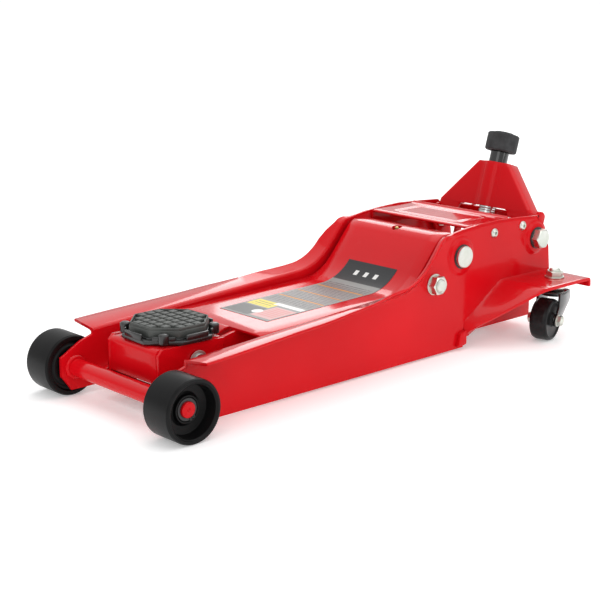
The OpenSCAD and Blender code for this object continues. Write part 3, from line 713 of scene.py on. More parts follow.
def buildTread():
    # blocks in a square grid, kept where the pad's eight-sided outline leaves room for them
    tree = Tree("treadBlocks", [("Points", "NodeSocketGeometry"), ("Part", "NodeSocketObject"),
            ("Pitch", "NodeSocketFloat"), ("Rows", "NodeSocketInt"), ("Corner", "NodeSocketFloat"),
            ("Finish", "NodeSocketMaterial")])
    rows = tree.given("Rows")
    gaps = tree.add("ShaderNodeMath", {"operation": "SUBTRACT"}, {0: rows, 1: 1.0})
    span = tree.add("ShaderNodeMath", {"operation": "MULTIPLY"}, {0: gaps[0], 1: tree.given("Pitch")})
    grid = tree.add("GeometryNodeMeshGrid", None, {"Size X": span[0], "Size Y": span[0],
            "Vertices X": rows, "Vertices Y": rows})
    spot = tree.add("GeometryNodeInputPosition")
    size = tree.add("ShaderNodeVectorMath", {"operation": "ABSOLUTE"}, {0: spot[0]})
    parts = tree.add("ShaderNodeSeparateXYZ", None, {0: size[0]})
    reach = tree.add("ShaderNodeMath", {"operation": "ADD"}, {0: parts[0], 1: parts[1]})
    beyond = tree.add("FunctionNodeCompare", {"data_type": "FLOAT", "operation": "GREATER_THAN"},
            {0: reach[0], 1: tree.given("Corner")})
    kept = tree.add("GeometryNodeDeleteGeometry", {"domain": "POINT"},
            {0: grid["Mesh"], "Selection": beyond[0]})
    part = tree.add("GeometryNodeObjectInfo", {"transform_space": "ORIGINAL"}, {0: tree.given("Part")})
    blocks = tree.add("GeometryNodeInstanceOnPoints", None,
            {"Points": kept[0], "Instance": part["Geometry"]})
    tree.close(blocks[0])
    return tree


def buildCoil():
    # a coil spring along z, standing on z = 0
    tree = Tree("coilSpring", [("Points", "NodeSocketGeometry"), ("Turns", "NodeSocketFloat"),
            ("Radius", "NodeSocketFloat"), ("Length", "NodeSocketFloat"), ("Wire", "NodeSocketFloat"),
            ("Finish", "NodeSocketMaterial")])
    spiral = tree.add("GeometryNodeCurveSpiral", None,
            {"Resolution": 28, "Rotations": tree.given("Turns"), "Start Radius": tree.given("Radius"),
            "End Radius": tree.given("Radius"), "Height": tree.given("Length")})
    wire = tree.add("GeometryNodeCurvePrimitiveCircle", None,
            {"Resolution": 10, "Radius": tree.given("Wire")})
    body = tree.add("GeometryNodeCurveToMesh", None, {0: spiral[0], 1: wire[0], "Fill Caps": True})
    tree.close(body[0])
    return tree


placer = buildPlacer()
tread = buildTread()
coil = buildCoil()


def copies(name, part, places, finish):
    # places: (point, turn) pairs; the part is used up
    mesh = bpy.data.meshes.new(name + "Points")
    mesh.from_pydata([tuple(p) for p, turn in places], [], [])
    turns = mesh.attributes.new("turn", "FLOAT_VECTOR", "POINT")
    for item, (p, turn) in zip(turns.data, places):
        item.vector = turn
    obj = placer.run(name, mesh, {"Part": part, "Size": 1.0}, finish)
    bpy.data.objects.remove(part)
    obj.data.shade_smooth()
    obj.data.set_sharp_from_angle(angle=math.radians(30))
    return obj


toLeft = (0, math.pi / 2, 0)  # turns +Z to +X
toRight = (0, -math.pi / 2, 0)


def facingOut(x, y, z):
    # a place on each side of the jack, turned outwards
    return [(at(x, y, z), toLeft), (at(-x, y, z), toRight)]


print("node trees ready")


sidePlate = {"inner": 85.5, "outer": 89.5, "sheet": 4, "bend": 5, "lip": 1.9, "start": (-288, 77.5),
        "rise": 3.25, "foot": 70.5, "slope": 49, "ramp": 74.4, "crestEnd": 136, "footRadius": 83,
        "crestRadius": 32}
# outer edge of the top flange: y, half width, lift above the bend
flangeEdge = [(-288, 124, 4), (-120, 117.5, 3.5), (-28, 111, 4.5), (27, 102, 7), (95, 101.5, 7.5),
        (118, 95, 2.5), (136, 91.5, 0)]
rearTop = [(136, 155.6), (159, 159), (193, 161.7), (229, 163), (275, 161), (312, 158.5), (326, 145),
        (341, 113), (345, 80)]
nose = [(-333, 27, 50), (-327, 19, 53), (-320, 9, 57.2), (-306, 9, 65), (-293, 9, 69)]
crease = [(167.2, 37), (238, 80)]


def edgeAt(y, column):
    for a, b in zip(flangeEdge, flangeEdge[1:]):
        if a[0] <= y <= b[0]:
            t = (y - a[0]) / (b[0] - a[0])
            t = t * t * (3 - 2 * t) if abs(b[column] - a[column]) > 4 else t
            return a[column] + (b[column] - a[column]) * t
    return flangeEdge[-1][column] if y > 0 else flangeEdge[0][column]


def topLine():
    v = sidePlate
    y0, z0 = v["start"]
    foot = Vector((v["foot"], z0 + math.tan(math.radians(v["rise"])) * (v["foot"] - y0)))
    slope = math.radians(v["slope"])
    head = foot + Vector((math.cos(slope), math.sin(slope))) * v["ramp"]
    run = smoothRun([(y0, z0), foot, head, (v["crestEnd"], head.y + 1.5)],
            [v["footRadius"], v["crestRadius"]], 14)
    line = []
    for a, b in zip(run, run[1:]):
        pieces = max(1, int((b - a).length / 14))
        line += [a.lerp(b, i / pieces) for i in range(pieces)]
    return line + [run[-1]]


def sheetRing(y, top, up, low, width, lift, radius):
    # cross-section of the plate at one station: web, bend, flange, lip and back
    v = sidePlate
    inner, outer, t = v["inner"], v["outer"], v["sheet"]
    lip = v["lip"] if width > outer + 2.5 else 0.9
    ring = [(inner, None), (inner, -14)]
    ring += [(x, h) for x, h in arcPoints((inner + radius, -radius), radius, 180, 90, 5)]
    shift = max(width - lip, inner + radius + 0.1)
    ring += arcPoints((shift, lift - lip), lip, 85, -85, 5)
    under = max(outer, min(outer + 4, shift - 0.1))
    ring += [(max(under, outer), -t + min(0.4, lift))]
    ring += [(outer + (under - outer) * 0.3, -t - 1.2), (outer, -t - 4), (outer, -14), (outer, None)]
    points = []
    for x, h in ring:
        if h is None:
            points.append(at(x, y, low))
        elif h == -14:
            points.append(at(x, y, max(low + 0.5, top - 14)))
        else:
            points.append(at(x, y + up[0] * h, top + up[1] * h))
    return points


def buildSidePlate():
    v = sidePlate
    rings = []
    flat = Vector((0, 1))
    bare = (89.4, 0, 0.9)
    for y, low, top in nose:
        rings.append(sheetRing(y, top, flat, low, *bare))
    rings.append(sheetRing(v["start"][0] - 0.6, 70.5, flat, 9, *bare))
    rings.append(sheetRing(v["start"][0] - 0.3, 77.2, flat, 9, *bare))
    line = topLine()
    for i, p in enumerate(line):
        before, after = line[max(0, i - 1)], line[min(len(line) - 1, i + 1)]
        way = (after - before).normalized()
        up = Vector((-way.y, way.x))
        low = 9 - 6 * min(1, max(0, (p.x + 288) / 16))
        radius = v["bend"] if p.x < 100 else v["bend"] - 3.2 * min(1, (p.x - 100) / 34)
        rings.append(sheetRing(p.x, p.y, up, low, edgeAt(p.x, 1), edgeAt(p.x, 2), radius))
    for (y0, z0), (y1, z1) in zip(rearTop, rearTop[1:]):
        for k in range(1, 4):
            y, z = y0 + (y1 - y0) * k / 3, z0 + (z1 - z0) * k / 3
            if y > 166.9 and rings[-1][0].y < at(0, 166.6, 0).y:
                rings.append(sheetRing(166.7, 159.7, flat, 3, *bare))
                rings.append(sheetRing(166.9, 159.7, flat, 37, *bare))
            low = 3 if y < 166.8 else 37 + min(41.5, 43 * max(0, y - crease[0][0]) / 70.8)
            rings.append(sheetRing(y, max(z, low + 3), flat, low, *bare))
    web = sweep("sidePlateWeb", rings, red, sharp=34)
    return web


wing = {"freeStart": (90.5, 168, 20), "freeEnd": (158, 247.6, 80), "rear": 341, "shelf": 80, "curl": 7,
        "drop": 5, "thick": 4, "fillet": 2.5}


def buildWing():
    # the plate's lower rear turned outwards into the caster shelf
    v = wing
    rows = []
    steps = 12
    inner = sidePlate["outer"] - 1.2
    startWeb, endWeb = Vector((inner, *crease[0])), Vector((inner, *crease[1]))
    freeStart, freeEnd = Vector(v["freeStart"]), Vector(v["freeEnd"])
    for k in range(steps + 1):
        s = k / steps
        a, b = startWeb.lerp(endWeb, s), freeStart.lerp(freeEnd, s)
        rows.append(bend(a, b, s))
    for k in range(1, 7):
        s = k / 6
        a = Vector((inner, crease[1][0] + (v["rear"] - crease[1][0]) * s, v["shelf"]))
        b = Vector((freeEnd.x, freeEnd.y + (v["rear"] - freeEnd.y) * s, v["shelf"]))
        rows.append(bend(a, b, 1))
    for angle in range(15, 91, 15):
        turn = math.radians(angle)
        dy, dz = v["curl"] * math.sin(turn) * 0.6, v["curl"] * (1 - math.cos(turn))
        rows.append([p + Vector((0, dy, -dz)) / 1000 for p in rows[steps + 6]])
    rows.append([p + Vector((0, 0, -v["drop"])) / 1000 for p in rows[-1]])
    sheet = skin("wingSheet", rows, red)
    for face in sheet.data.polygons:
        if face.normal.z < -0.3:
            sheet.data.flip_normals()
            break
    thicken(sheet, v["thick"])
    return soften(sheet, 0.7, 2, 40, 50)


def bend(a, b, s):
    # one row from the web to the free edge, with a hollow fillet against the web
    rise = wing["fillet"] * s
    row = []
    for t in (0, 0.03, 0.07, 0.12, 0.2, 0.4, 0.6, 0.8, 0.93, 1):
        lift = rise * max(0, 1 - t / 0.14) ** 2
        p = a.lerp(b, t) + Vector((0, 0, lift))
        row.append(at(*p))
    return row


boss = {"pivot": (156, 125.5, 22), "handle": (309.5, 129, 20), "height": 3}


def buildBoss(name, y, z, radius):
    # a pressed boss with a soft shoulder
    h = boss["height"]
    profile = [(0, -2), (radius + 4, -2), (radius + 4, 0.05), (radius + 1.6, 0.5), (radius, h - 0.8),
            (radius - 1.4, h), (0, h)]
    return lathe(name, profile, at(sidePlate["outer"], y, z), xAxis, red, 64, 50)


tab = {"y": 160, "z": 5, "size": (7, 17, 22)}


def buildTab():
    # the small folded stop at the foot of the wing
    dx, dy, dz = tab["size"]
    y, z = tab["y"], tab["z"]
    outline = rounded([(y - dy / 2, z), (y + dy / 2, z + 3), (y + dy / 2, z + dz),
            (y - dy / 2 + 5, z + dz - 4)], 2.2, 3)
    return plate("wingTab", outline, sidePlate["outer"] - 0.5, sidePlate["outer"] + dx - 2, "x", red, 1.0)


def buildSides():
    leftSide = joined("sidePlateLeftSheet", [buildSidePlate(), buildWing(), buildTab(),
            buildBoss("pivotBoss", *boss["pivot"]), buildBoss("handleBoss", *boss["handle"])])
    for face in leftSide.data.polygons:
        face.use_smooth = True
    eachSide(leftSide, "sidePlateRightSheet", "frame", "side_plate_left")
    print("side plates built")


buildSides()


frontWheel = {"radius": 36, "width": 43.5, "outer": 134.7, "rim": 30.6, "dish": 16.5, "hub": 16.5,
        "bore": 9.1, "axleEnd": 9, "bar": 10.5, "ring": 13}


def wheelProfile():
    # radius and distance from the inner face to the outer face
    v = frontWheel
    w = v["width"]
    return rounded([(v["bore"], 1), (24, 1), (26, 3), (29, 3), (30, 0), (v["radius"] - 1.5, 0),
            (v["radius"], 2.5), (v["radius"], w - 2.6), (v["radius"] - 1.2, w), (v["rim"] + 1.4, w),
            (v["rim"] + 0.4, w - 1.6), (v["rim"] - 0.6, w - 2.2), (v["rim"] - 2.4, w - v["dish"]),
            (v["hub"] + 2.5, w - v["dish"] - 1.2), (v["hub"], w - v["dish"] + 0.6),
            (v["hub"] - 1, w - v["dish"] + 4.2), (13.6, w - v["dish"] + 4.2), (13.4, w - v["dish"] + 1.4),
            (v["bore"], w - v["dish"] + 1.4)], 0.7, 3)


def buildFrontWheels():
    v = frontWheel
    for side, sign in (("Left", 1), ("Right", -1)):
        centre = at(sign * (v["outer"] - v["width"]), axleY, v["radius"])
        finish = makeWheelBlack("wheelNylon" + side, at(0, axleY, v["radius"]), v["radius"] / 1000)
        wheel = lathe("frontWheel" + side, wheelProfile(), centre, (sign, 0, 0), finish, 144, 26)
        finished(wheel, f"front_wheel_{side.lower()}_body", [f"front_wheel_{side.lower()}"])
    rings = []
    for sign in (1, -1):
        # a spring ring in a groove of the axle, with its two eyes
        middle = at(sign * (v["outer"] - v["dish"] + 2.2), axleY, v["radius"])
        rings.append(lathe("ring", rounded(oblong(9.05, v["ring"] - 0.4, 0, 1.8), 0.3), middle,
                (sign, 0, 0), blackSteel, 72))
        for turn in (-70, -50):
            angle = math.radians(turn)
            eye = middle + Vector((0, math.cos(angle), math.sin(angle))) * 0.0118
            rings.append(softLathe("eye", [(0, 0), (1.9, 0), (1.9, 2.6), (0.8, 2.6), (0.8, 1.6),
                    (0, 1.6)], 0.3, eye, (sign, 0, 0), blackSteel, 20))
    finished(joined("axleRings", rings), "frame", ["wheel_retaining_rings"])


def buildAxle():
    v = frontWheel
    bar = []
    half = sidePlate["inner"]
    profile = oblong(0, v["bar"], -half, half)
    bar.append(lathe("bar", profile, at(0, axleY, v["radius"]), xAxis, red, 64, 40))
    for sign in (1, -1):
        end = v["outer"] - 9.8
        profile = [(0, half - 1), (v["axleEnd"], half - 1), (v["axleEnd"], end - 1.2),
                (v["axleEnd"] - 0.3, end - 0.5), (v["axleEnd"] - 1.3, end), (2.2, end), (1.2, end - 1.2),
                (0, end - 1.6)]
        bar.append(lathe("end", profile, at(0, axleY, v["radius"]), (sign, 0, 0), red, 64, 30))
        # weld bead between the bar and the plate
        bead = []
        for k in range(48):
            angle = 2 * math.pi * k / 48
            swell = 0.9 + 0.35 * math.sin(angle * 17) * math.sin(angle * 5 + 1)
            out = Vector((0, math.cos(angle), math.sin(angle)))
            centre = at(sign * (half - 0.6), axleY, v["radius"]) + out * (v["bar"] + 0.6) / 1000
            bead.append([centre + (out * math.cos(b) + Vector((-sign, 0, 0)) * math.sin(b))
                    * (2.3 + swell) / 1000 for b in [2 * math.pi * j / 8 for j in range(8)]])
        points = [p for ring in bead for p in ring]
        faces = [(8 * k + j, 8 * k + (j + 1) % 8, 8 * ((k + 1) % 48) + (j + 1) % 8,
                8 * ((k + 1) % 48) + j) for k in range(48) for j in range(8)]
        bar.append(soften(asObject("bead", points, faces, red), 0, 2, 80))
    finished(joined("frontAxleBar", bar), "frame", ["front_axle"])
    tube = lathe("crossTube", oblong(8, 11, -half, half), at(0, 40, 20), xAxis, redInside, 48)
    finished(tube, "frame", ["front_cross_tube"])
    print("front axle and wheels built")


buildFrontWheels()
buildAxle()


arm = {"half": 80, "sheet": 3, "front": (-175, 81.2), "foot": (69, 86.8), "slope": 49, "ramp": 89.65,
        "end": 151, "footRadius": 70, "crestRadius": 26, "roll": 2.4, "plateIn": 32, "plateOut": 38,
        "pivot": (156, 125.5), "tube": 17, "hole": (0, 133, 7), "tongue": 25, "tongueRadius": 22,
        "head": (-240, 58), "lever": 60, "leverAngle": 33, "shaftEnd": 94, "washerFace": 92.5}
leverPin = (arm["pivot"][0] + arm["lever"] * math.sin(math.radians(arm["leverAngle"])),
        arm["pivot"][1] - arm["lever"] * math.cos(math.radians(arm["leverAngle"])))


def coverLine():
    v = arm
    foot, slope = Vector(v["foot"]), math.radians(v["slope"])
    head = foot + Vector((math.cos(slope), math.sin(slope))) * v["ramp"]
    return smoothRun([v["front"], foot, head, (v["end"], head.y - 0.5)],
            [v["footRadius"], v["crestRadius"]], 12)


def normalsOf(line):
    ups = []
    for i in range(len(line)):
        way = (line[min(len(line) - 1, i + 1)] - line[max(0, i - 1)]).normalized()
        ups.append(Vector((-way.y, way.x)))
    return ups


def buildCover():
    # the wide sheet on the arm: flat run, ramp and rolled crest, with rounded side edges
    v = arm
    line = coverLine()
    dense = []
    for a, b in zip(line, line[1:]):
        pieces = max(1, int((b - a).length / 20))
        dense += [a.lerp(b, i / pieces) for i in range(pieces)]
    dense.append(line[-1])
    # the crest rolls on over the pivot tube
    last = dense[-1]
    dense += [last + Vector((7 * math.sin(math.radians(a)), -7 * (1 - math.cos(math.radians(a)))))
            for a in (25, 50, 75)]
    ups = normalsOf(dense)
    xs = [-v["half"], -v["half"] + 0.8, -v["half"] + 2.4, -60, -30, 0, 30, 60, v["half"] - 2.4,
            v["half"] - 0.8, v["half"]]
    rows = []
    for p, up in zip(dense, ups):
        row = []
        for x in xs:
            drop = v["roll"] * max(0, (abs(x) - v["half"] + 2.4) / 2.4) ** 2
            row.append(at(x, p.x - up.x * drop, p.y - up.y * drop))
        rows.append(row)
    sheet = facingUp(skin("coverSheet", rows, red))
    thicken(sheet, v["sheet"])
    soften(sheet, 0.6, 2, 40, 50)
    x, y, r = v["hole"]
    cutter = lathe("cutter", oblong(0, r, -60, 60), at(x, y, 150), zAxis, red, 40)
    cut(sheet, cutter)
    return soften(sheet, 0, 2, 40)


def buildTongue():
    # the middle of the cover's front bends down between the arm plates
    v = arm
    r = v["tongueRadius"]
    y0, z0 = v["front"]
    rows = []
    for a in range(0, 86, 6):
        turn = math.radians(a)
        y, z = y0 + 0.4 - r * math.sin(turn), z0 - r * (1 - math.cos(turn))
        narrow = v["tongue"] - 3 * (a / 85)
        rows.append([at(x, y, z) for x in (-narrow, -narrow + 1.5, -10, 0, 10, narrow - 1.5, narrow)])
    sheet = facingUp(skin("coverTongue", rows, red))
    thicken(sheet, v["sheet"])
    return soften(sheet, 0.5, 2, 40, 50)


def buildArmPlate():
    v = arm
    line = coverLine()
    ups = normalsOf(line)
    py, pz = v["pivot"]
    hy, hz = v["head"]
    ly, lz = leverPin
    under = [tuple(p - up * (v["sheet"] - 0.2)) for p, up in zip(line, ups)]
    outline = [(hy, hz + 12), (-200, 73), *under, (py + 18, pz + 8), (py + 20, pz - 12),
            (ly + 13, lz + 6), (ly + 8, lz - 12), (ly - 6, lz - 12), (py - 34, pz - 34), (96, 84),
            (52, 50), (-60, 42), (hy, hz - 14), (hy - 10, hz - 10), (hy - 14, hz), (hy - 10, hz + 10)]
    radii = [4, 6] + [0] * len(under) + [6, 6, 8, 8, 8, 8, 20, 30, 60, 6, 6, 6, 6]
    holes = [circle((ly, lz), 8.1, 28), circle((hy, hz), 9.1, 28)]
    return plate("armPlate", rounded(outline, radii, 4), v["plateIn"], v["plateOut"], "x", red, 0.7, holes)


def buildArm():
    v = arm
    py, pz = v["pivot"]
    near = buildArmPlate()
    far = mirrored("armPlateFar", near)
    half = sidePlate["inner"] - 0.5
    tube = softLathe("pivotTube", oblong(11.1, v["tube"], -half, half), 1.2, at(0, py, pz), xAxis, red,
            72)
    whole = joined("liftArmWeldment", [buildCover(), buildTongue(), near, far, tube])
    finished(whole, "lift_arm_body", ["lift_arm"])
    heads = []
    for sign in (1, -1):
        profile = [(0, 0), (13.4, 0), (14, 0.6), (14, 3.9), (13.0, 5), (2, 5.35), (0, 5.35)]
        heads.append(lathe("head", profile, at(sign * v["shaftEnd"], py, pz), (sign, 0, 0), zinc, 72, 30))
    shaft = lathe("shaft", oblong(0, 10.95, -v["shaftEnd"], v["shaftEnd"]), at(0, py, pz), xAxis, zinc, 48)
    finished(joined("armPivotShaft", [shaft, *heads]), "frame", ["arm_pivot_shaft"])
    washers = [softLathe("washer", oblong(11.05, 15.6, 0, 1.5), 0.5, at(sign * v["washerFace"], py, pz),
            (sign, 0, 0), blackSteel, 64) for sign in (1, -1)]
    finished(joined("armPivotWashers", washers), "frame", ["arm_pivot_washers"])
    x, y = v["hole"][:2]
    stem = [(0, 4), (3, 4), (3, 7.5), (2.0, 8.4), (2.0, 9.2), (2.9, 10.2), (1.6, 12), (0, 12.3)]
    nipple = [hexHead("nippleHex", 9, 5, brass), softLathe("nippleStem", stem, 0.3, origin, zAxis, brass,
            32)]
    fitting = moved(joined("greaseNipple", nipple), Matrix.Translation(at(x, y, pz + v["tube"] - 0.5)))
    finished(fitting, "lift_arm_body", ["grease_fitting"])
    print("lift arm built")


labelPlace = {"start": -150, "end": 92, "half": 43, "lift": 0.35}


def buildLabel():
    # printed film that follows the cover, with its own map along the run
    v = labelPlace
    line = coverLine()
    dense = [a.lerp(b, i / 10) for a, b in zip(line, line[1:]) for i in range(10)]
    ups = normalsOf(dense)
    kept = [(p, up) for p, up in zip(dense, ups) if v["start"] <= p.x <= v["end"]]
    lengths = [0]
    for before, after in zip(kept, kept[1:]):
        lengths.append(lengths[-1] + (after[0] - before[0]).length)
    total = lengths[-1]
    xs = [-v["half"] + 2 * v["half"] * i / 12 for i in range(13)]
    rows = [[at(x, p.x + up.x * v["lift"], p.y + up.y * v["lift"]) for x in xs] for p, up in kept]
    label = facingUp(skin("coverLabel", rows, labelPrint))
    layer = label.data.uv_layers.new(name="labelMap")
    low = at(-v["half"], 0, 0).x
    ys = [row[0].y for row in rows]
    for loop in label.data.loops:
        p = label.data.vertices[loop.vertex_index].co
        k = min(range(len(ys)), key=lambda i: abs(ys[i] - p.y))
        layer.data[loop.index].uv = ((p.x - low) / (2 * v["half"] / 1000), lengths[k] / total)
    label.data.shade_smooth()
    finished(label, "lift_arm_body", ["label_plate"])
    print("label built")


buildArm()
buildLabel()


bracket = {"half": 47.5, "wall": 5, "front": -295, "end": -203, "top": 80, "linkDy": -49, "linkDz": -29,
        "pinOut": 52.5}
linkPin = (arm["head"][0] + bracket["linkDy"], arm["head"][1] + bracket["linkDz"])


def buildBracket():
    v = bracket
    hy, hz = arm["head"]
    ly, lz = linkPin
    front, end = v["front"], v["end"]
    outline = [(front + 1, lz - 4), (front + 1, v["top"] - 7), (front + 7, v["top"] - 0.4),
            (end + 6, v["top"] - 2.6), (end, v["top"] - 9), (end, 50), (hy + 15, hz - 12),
            (ly + 11, lz - 9), (ly, lz - 12)]
    holes = [circle((hy, hz), 9.1, 28), circle((ly, lz), 6.2, 28)]
    near = plate("bracketSide", rounded(outline, [9, 1.2, 1.6, 5, 4, 14, 12, 8, 9], 4),
            v["half"] - v["wall"], v["half"], "x", red, 0.9, holes)
    far = mirrored("bracketSideFar", near)
    # front wall and top in one bent sheet
    inside = v["half"] - v["wall"] + 0.3
    path = [(front + 0.3, 39)] + [(front + 0.3, v["top"] - 9)]
    path += arcPoints((front + 7.3, v["top"] - 8), 7, 180, 90, 6) + [(-270, v["top"] - 1.0),
            (end, v["top"] - 1.4)]
    rows = [[at(x, y, z) for x in (-inside, -30, 0, 30, inside)] for y, z in path]
    sheet = facingUp(skin("bracketBend", rows, red), -1)
    thicken(sheet, v["wall"] - 1)
    soften(sheet, 0.6, 2, 40, 50)
    whole = joined("saddleBracketBox", [sheet, near, far])
    finished(whole, "bracket_body", ["saddle_bracket"])
    pin = softLathe("bracketPinBar", oblong(0, 8.95, -v["pinOut"], v["pinOut"]), 1.0, at(0, hy, hz),
            xAxis, pinSteel, 48)
    finished(pin, "lift_arm_body", ["bracket_pin"])
    clips = [softLathe("clip", oblong(9, 12, 0, 1.5), 0.3, at(sign * (v["half"] + 1), hy, hz),
            (sign, 0, 0), zincDark, 40) for sign in (1, -1)]
    finished(joined("bracketPinClips", clips), "lift_arm_body", ["bracket_pin_clips"])
    print("saddle bracket built")


saddle = {"y": -242, "low": 80.3, "floor": 85.3, "lip": 91, "width": 104, "cut": 32, "padWidth": 86,
        "padCut": 24.5, "padBase": 94.6, "padTop": 98, "pitch": 11.7, "block": 9.6, "rows": 7, "lug": 6.2,
        "treadCorner": 0.0575}


def octagon(width, corner):
    h, c = width / 2, width / 2 - corner
    return [(-c, -h), (c, -h), (h, -c), (h, c), (c, h), (-c, h), (-h, c), (-h, -c)]


def octagonAt(width, corner, y):
    return [(px, py + y) for px, py in octagon(width, corner)]


def buildSaddle():
    v = saddle
    y = v["y"]
    base = plate("trayBase", rounded(octagonAt(v["width"], v["cut"], y), 3, 3), v["low"], v["floor"], "z",
            trayBlack, 1.2)
    step = plate("trayStep", rounded(octagonAt(v["padWidth"] + 7, 27, y), 3, 3), v["floor"] - 0.5,
            v["floor"] + 1.6, "z", trayBlack, 0.6)
    parts = [base, step]
    # raised lips along the eight sides, with open corners
    outer, inner = octagon(v["width"], v["cut"]), octagon(v["width"] - 7, v["cut"] - 2)
    for k in range(8):
        a, b = Vector(outer[k]), Vector(outer[(k + 1) % 8])
        c, d = Vector(inner[k]), Vector(inner[(k + 1) % 8])
        if k % 2:
            t0, t1, lift = 0.2, 0.8, v["lip"] - 1.5
        else:
            t0, t1, lift = 0.10, 0.90, v["lip"]
        ring = [a.lerp(b, t0), a.lerp(b, t1), c.lerp(d, t1), c.lerp(d, t0)]
        ring = [(p.x, p.y + y) for p in ring]
        parts.append(plate("lip", rounded(ring, 1.2, 2), v["floor"] - 1, lift, "z", trayBlack, 0.9))
    for angle in (45, 135, 225, 315):
        turn = math.radians(angle)
        reach = v["width"] * 0.485
        spot = at(reach * math.cos(turn), y + reach * math.sin(turn), v["low"] + 1)
        parts.append(softLathe("lug", [(0, 0), (v["lug"], 0), (v["lug"], 10.5), (v["lug"] - 2, 12),
                (0, 12.4)], 1.0, spot, zAxis, trayBlack, 32))
    parts.append(softLathe("stem", oblong(0, 12, -9, 1), 0.8, at(0, y, v["low"]), zAxis, trayBlack, 48))
    finished(joined("saddleTrayCup", parts), "saddle_body", ["saddle_tray"])
    pad = plate("padBody", rounded(octagonAt(v["padWidth"], v["padCut"], y), 3, 3), v["floor"] + 0.2,
            v["padBase"], "z", rubber, 1.4, steps=3)
    rim = v["padWidth"] - 1.5
    outline = rounded(octagonAt(rim, v["padCut"] - 0.3, y), 2.6, 3)
    inside = rounded(octagonAt(rim - 3.4, v["padCut"] - 1.2, y), 2.2, 3)
    border = plate("padBorder", outline, v["padBase"] - 1, v["padTop"] - 0.3, "z", rubber, 0.7, [inside])
    block = v["block"]
    top = block - 1.5
    points = [(sx * w / 2000, sy * w / 2000, z / 1000) for w, z in ((block, 0), (block - 0.4, 2.6),
            (top, 3.4)) for sx, sy in ((-1, -1), (1, -1), (1, 1), (-1, 1))]
    faces = [(0, 3, 2, 1), (8, 9, 10, 11)]
    faces += [(4 * k + i, 4 * k + (i + 1) % 4, 4 * k + 4 + (i + 1) % 4, 4 * k + 4 + i) for k in (0,
            1) for i in range(4)]
    part = soften(asObject("treadBlock", points, faces, rubber), 0.35, 2, 60)
    empty = bpy.data.meshes.new("treadPoints")
    blocks = tread.run("padBlocks", empty, {"Part": part, "Pitch": v["pitch"] / 1000, "Rows": v["rows"],
            "Corner": v["treadCorner"]}, rubber)
    bpy.data.objects.remove(part)
    moved(blocks, Matrix.Translation(at(0, y, v["padBase"] - 0.2)))
    blocks.data.materials.clear()
    blocks.data.materials.append(rubber)
    soften(blocks, 0, 2, 50)
    finished(joined("saddlePadRubber", [pad, border, blocks]), "saddle_body", ["saddle_pad"])
    print("saddle built")


link = {"inner": 54, "outer": 60, "pivot": (107, 96.5), "pinEnd": 63, "headFace": 53, "boltEnd": 103,
        "spacer": (60.7, 85.4), "washerFace": 89.5, "nutFace": 91.2}


def buildLinks():
    v = link
    ly, lz = linkPin
    qy, qz = v["pivot"]
    outline = [(ly - 8, lz + 5), (ly - 8, lz - 6), (ly, lz - 9), (60, 54), (74, 60), (qy + 10, qz - 9),
            (qy + 12, qz + 4), (qy + 2, qz + 13), (qy - 9, qz + 9), (62, 76), (50, 71), (ly, lz + 9)]
    radii = [5, 5, 6, 30, 20, 10, 10, 10, 10, 20, 20, 6]
    holes = [circle((qy, qz), 8.1, 28), circle((ly, lz), 6.05, 28)]
    near = plate("levellingLinkLeftBar", rounded(outline, radii, 4), v["inner"], v["outer"], "x",
            redInside, 0.8, holes)
    eachSide(near, "levellingLinkRightBar", "link_left_body", "levelling_link_left")
    pin = softLathe("linkFrontBar", oblong(0, 6, -v["pinEnd"], v["pinEnd"]), 0.8, at(0, ly, lz), xAxis,
            pinSteel, 40)
    finished(pin, "link_left_body", ["link_front_pin"])
    start, end = v["headFace"], v["boltEnd"]
    shanks, nuts = [], []
    for sign in (1, -1):
        way = (sign, 0, 0)
        shank = [(0, start), (8, start), (8, end - 1.5), (6.6, end), (0, end)]
        shanks.append(softLathe("shank", shank, 0.4, at(0, qy, qz), way, zinc, 48))
        shanks.append(softLathe("spacer", oblong(8.05, 12, *v["spacer"]), 0.5, at(0, qy, qz), way, zinc,
                48))
        washer = oblong(8.1, 13.6, v["washerFace"], v["nutFace"])
        nuts.append(softLathe("washer", washer, 0.4, at(0, qy, qz), way, zinc, 48))
    heads = copies("linkBoltHeads", hexHead("linkBoltHead", 24, 9, zinc),
            [(at(sign * start, qy, qz), toRight if sign > 0 else toLeft) for sign in (1, -1)], zinc)
    finished(joined("linkPivotShanks", [*shanks, heads]), "frame", ["link_pivot_bolts"])
    hexes = copies("linkNuts", hexHead("linkNut", 22, 10, zinc, hollow=7.2),
            facingOut(v["nutFace"], qy, qz), zinc)
    finished(joined("linkPivotNutSet", [*nuts, hexes]), "frame", ["link_pivot_nuts"])
    print("levelling links built")


buildBracket()
buildSaddle()
buildLinks()


socket = {"pivot": (309.5, 129), "lean": 16.6, "half": 81, "top": 27, "low": 20, "knee": 31, "height": 92,
        "front": -11, "depth": 21, "sheet": 4, "bend": 6, "tube": 17, "bore": 12.85, "slot": (44, 8, 30),
        "bar": (18, 26, 5), "roller": (-50, 14, -26), "washerFace": 92.5, "boltFace": 94.5}
handle = {"radius": 12.8, "inner": 10.3, "start": 38, "end": 135, "sleeve": 22, "sleeveStart": 108,
        "sleeveEnd": 133, "screw": 62}
upright = Matrix.Translation(at(0, *socket["pivot"])) @ Matrix.Rotation(-math.radians(socket["lean"]), 4,
        "X")


def local(x, y, z):
    return Vector((x / 1000, y / 1000, z / 1000))


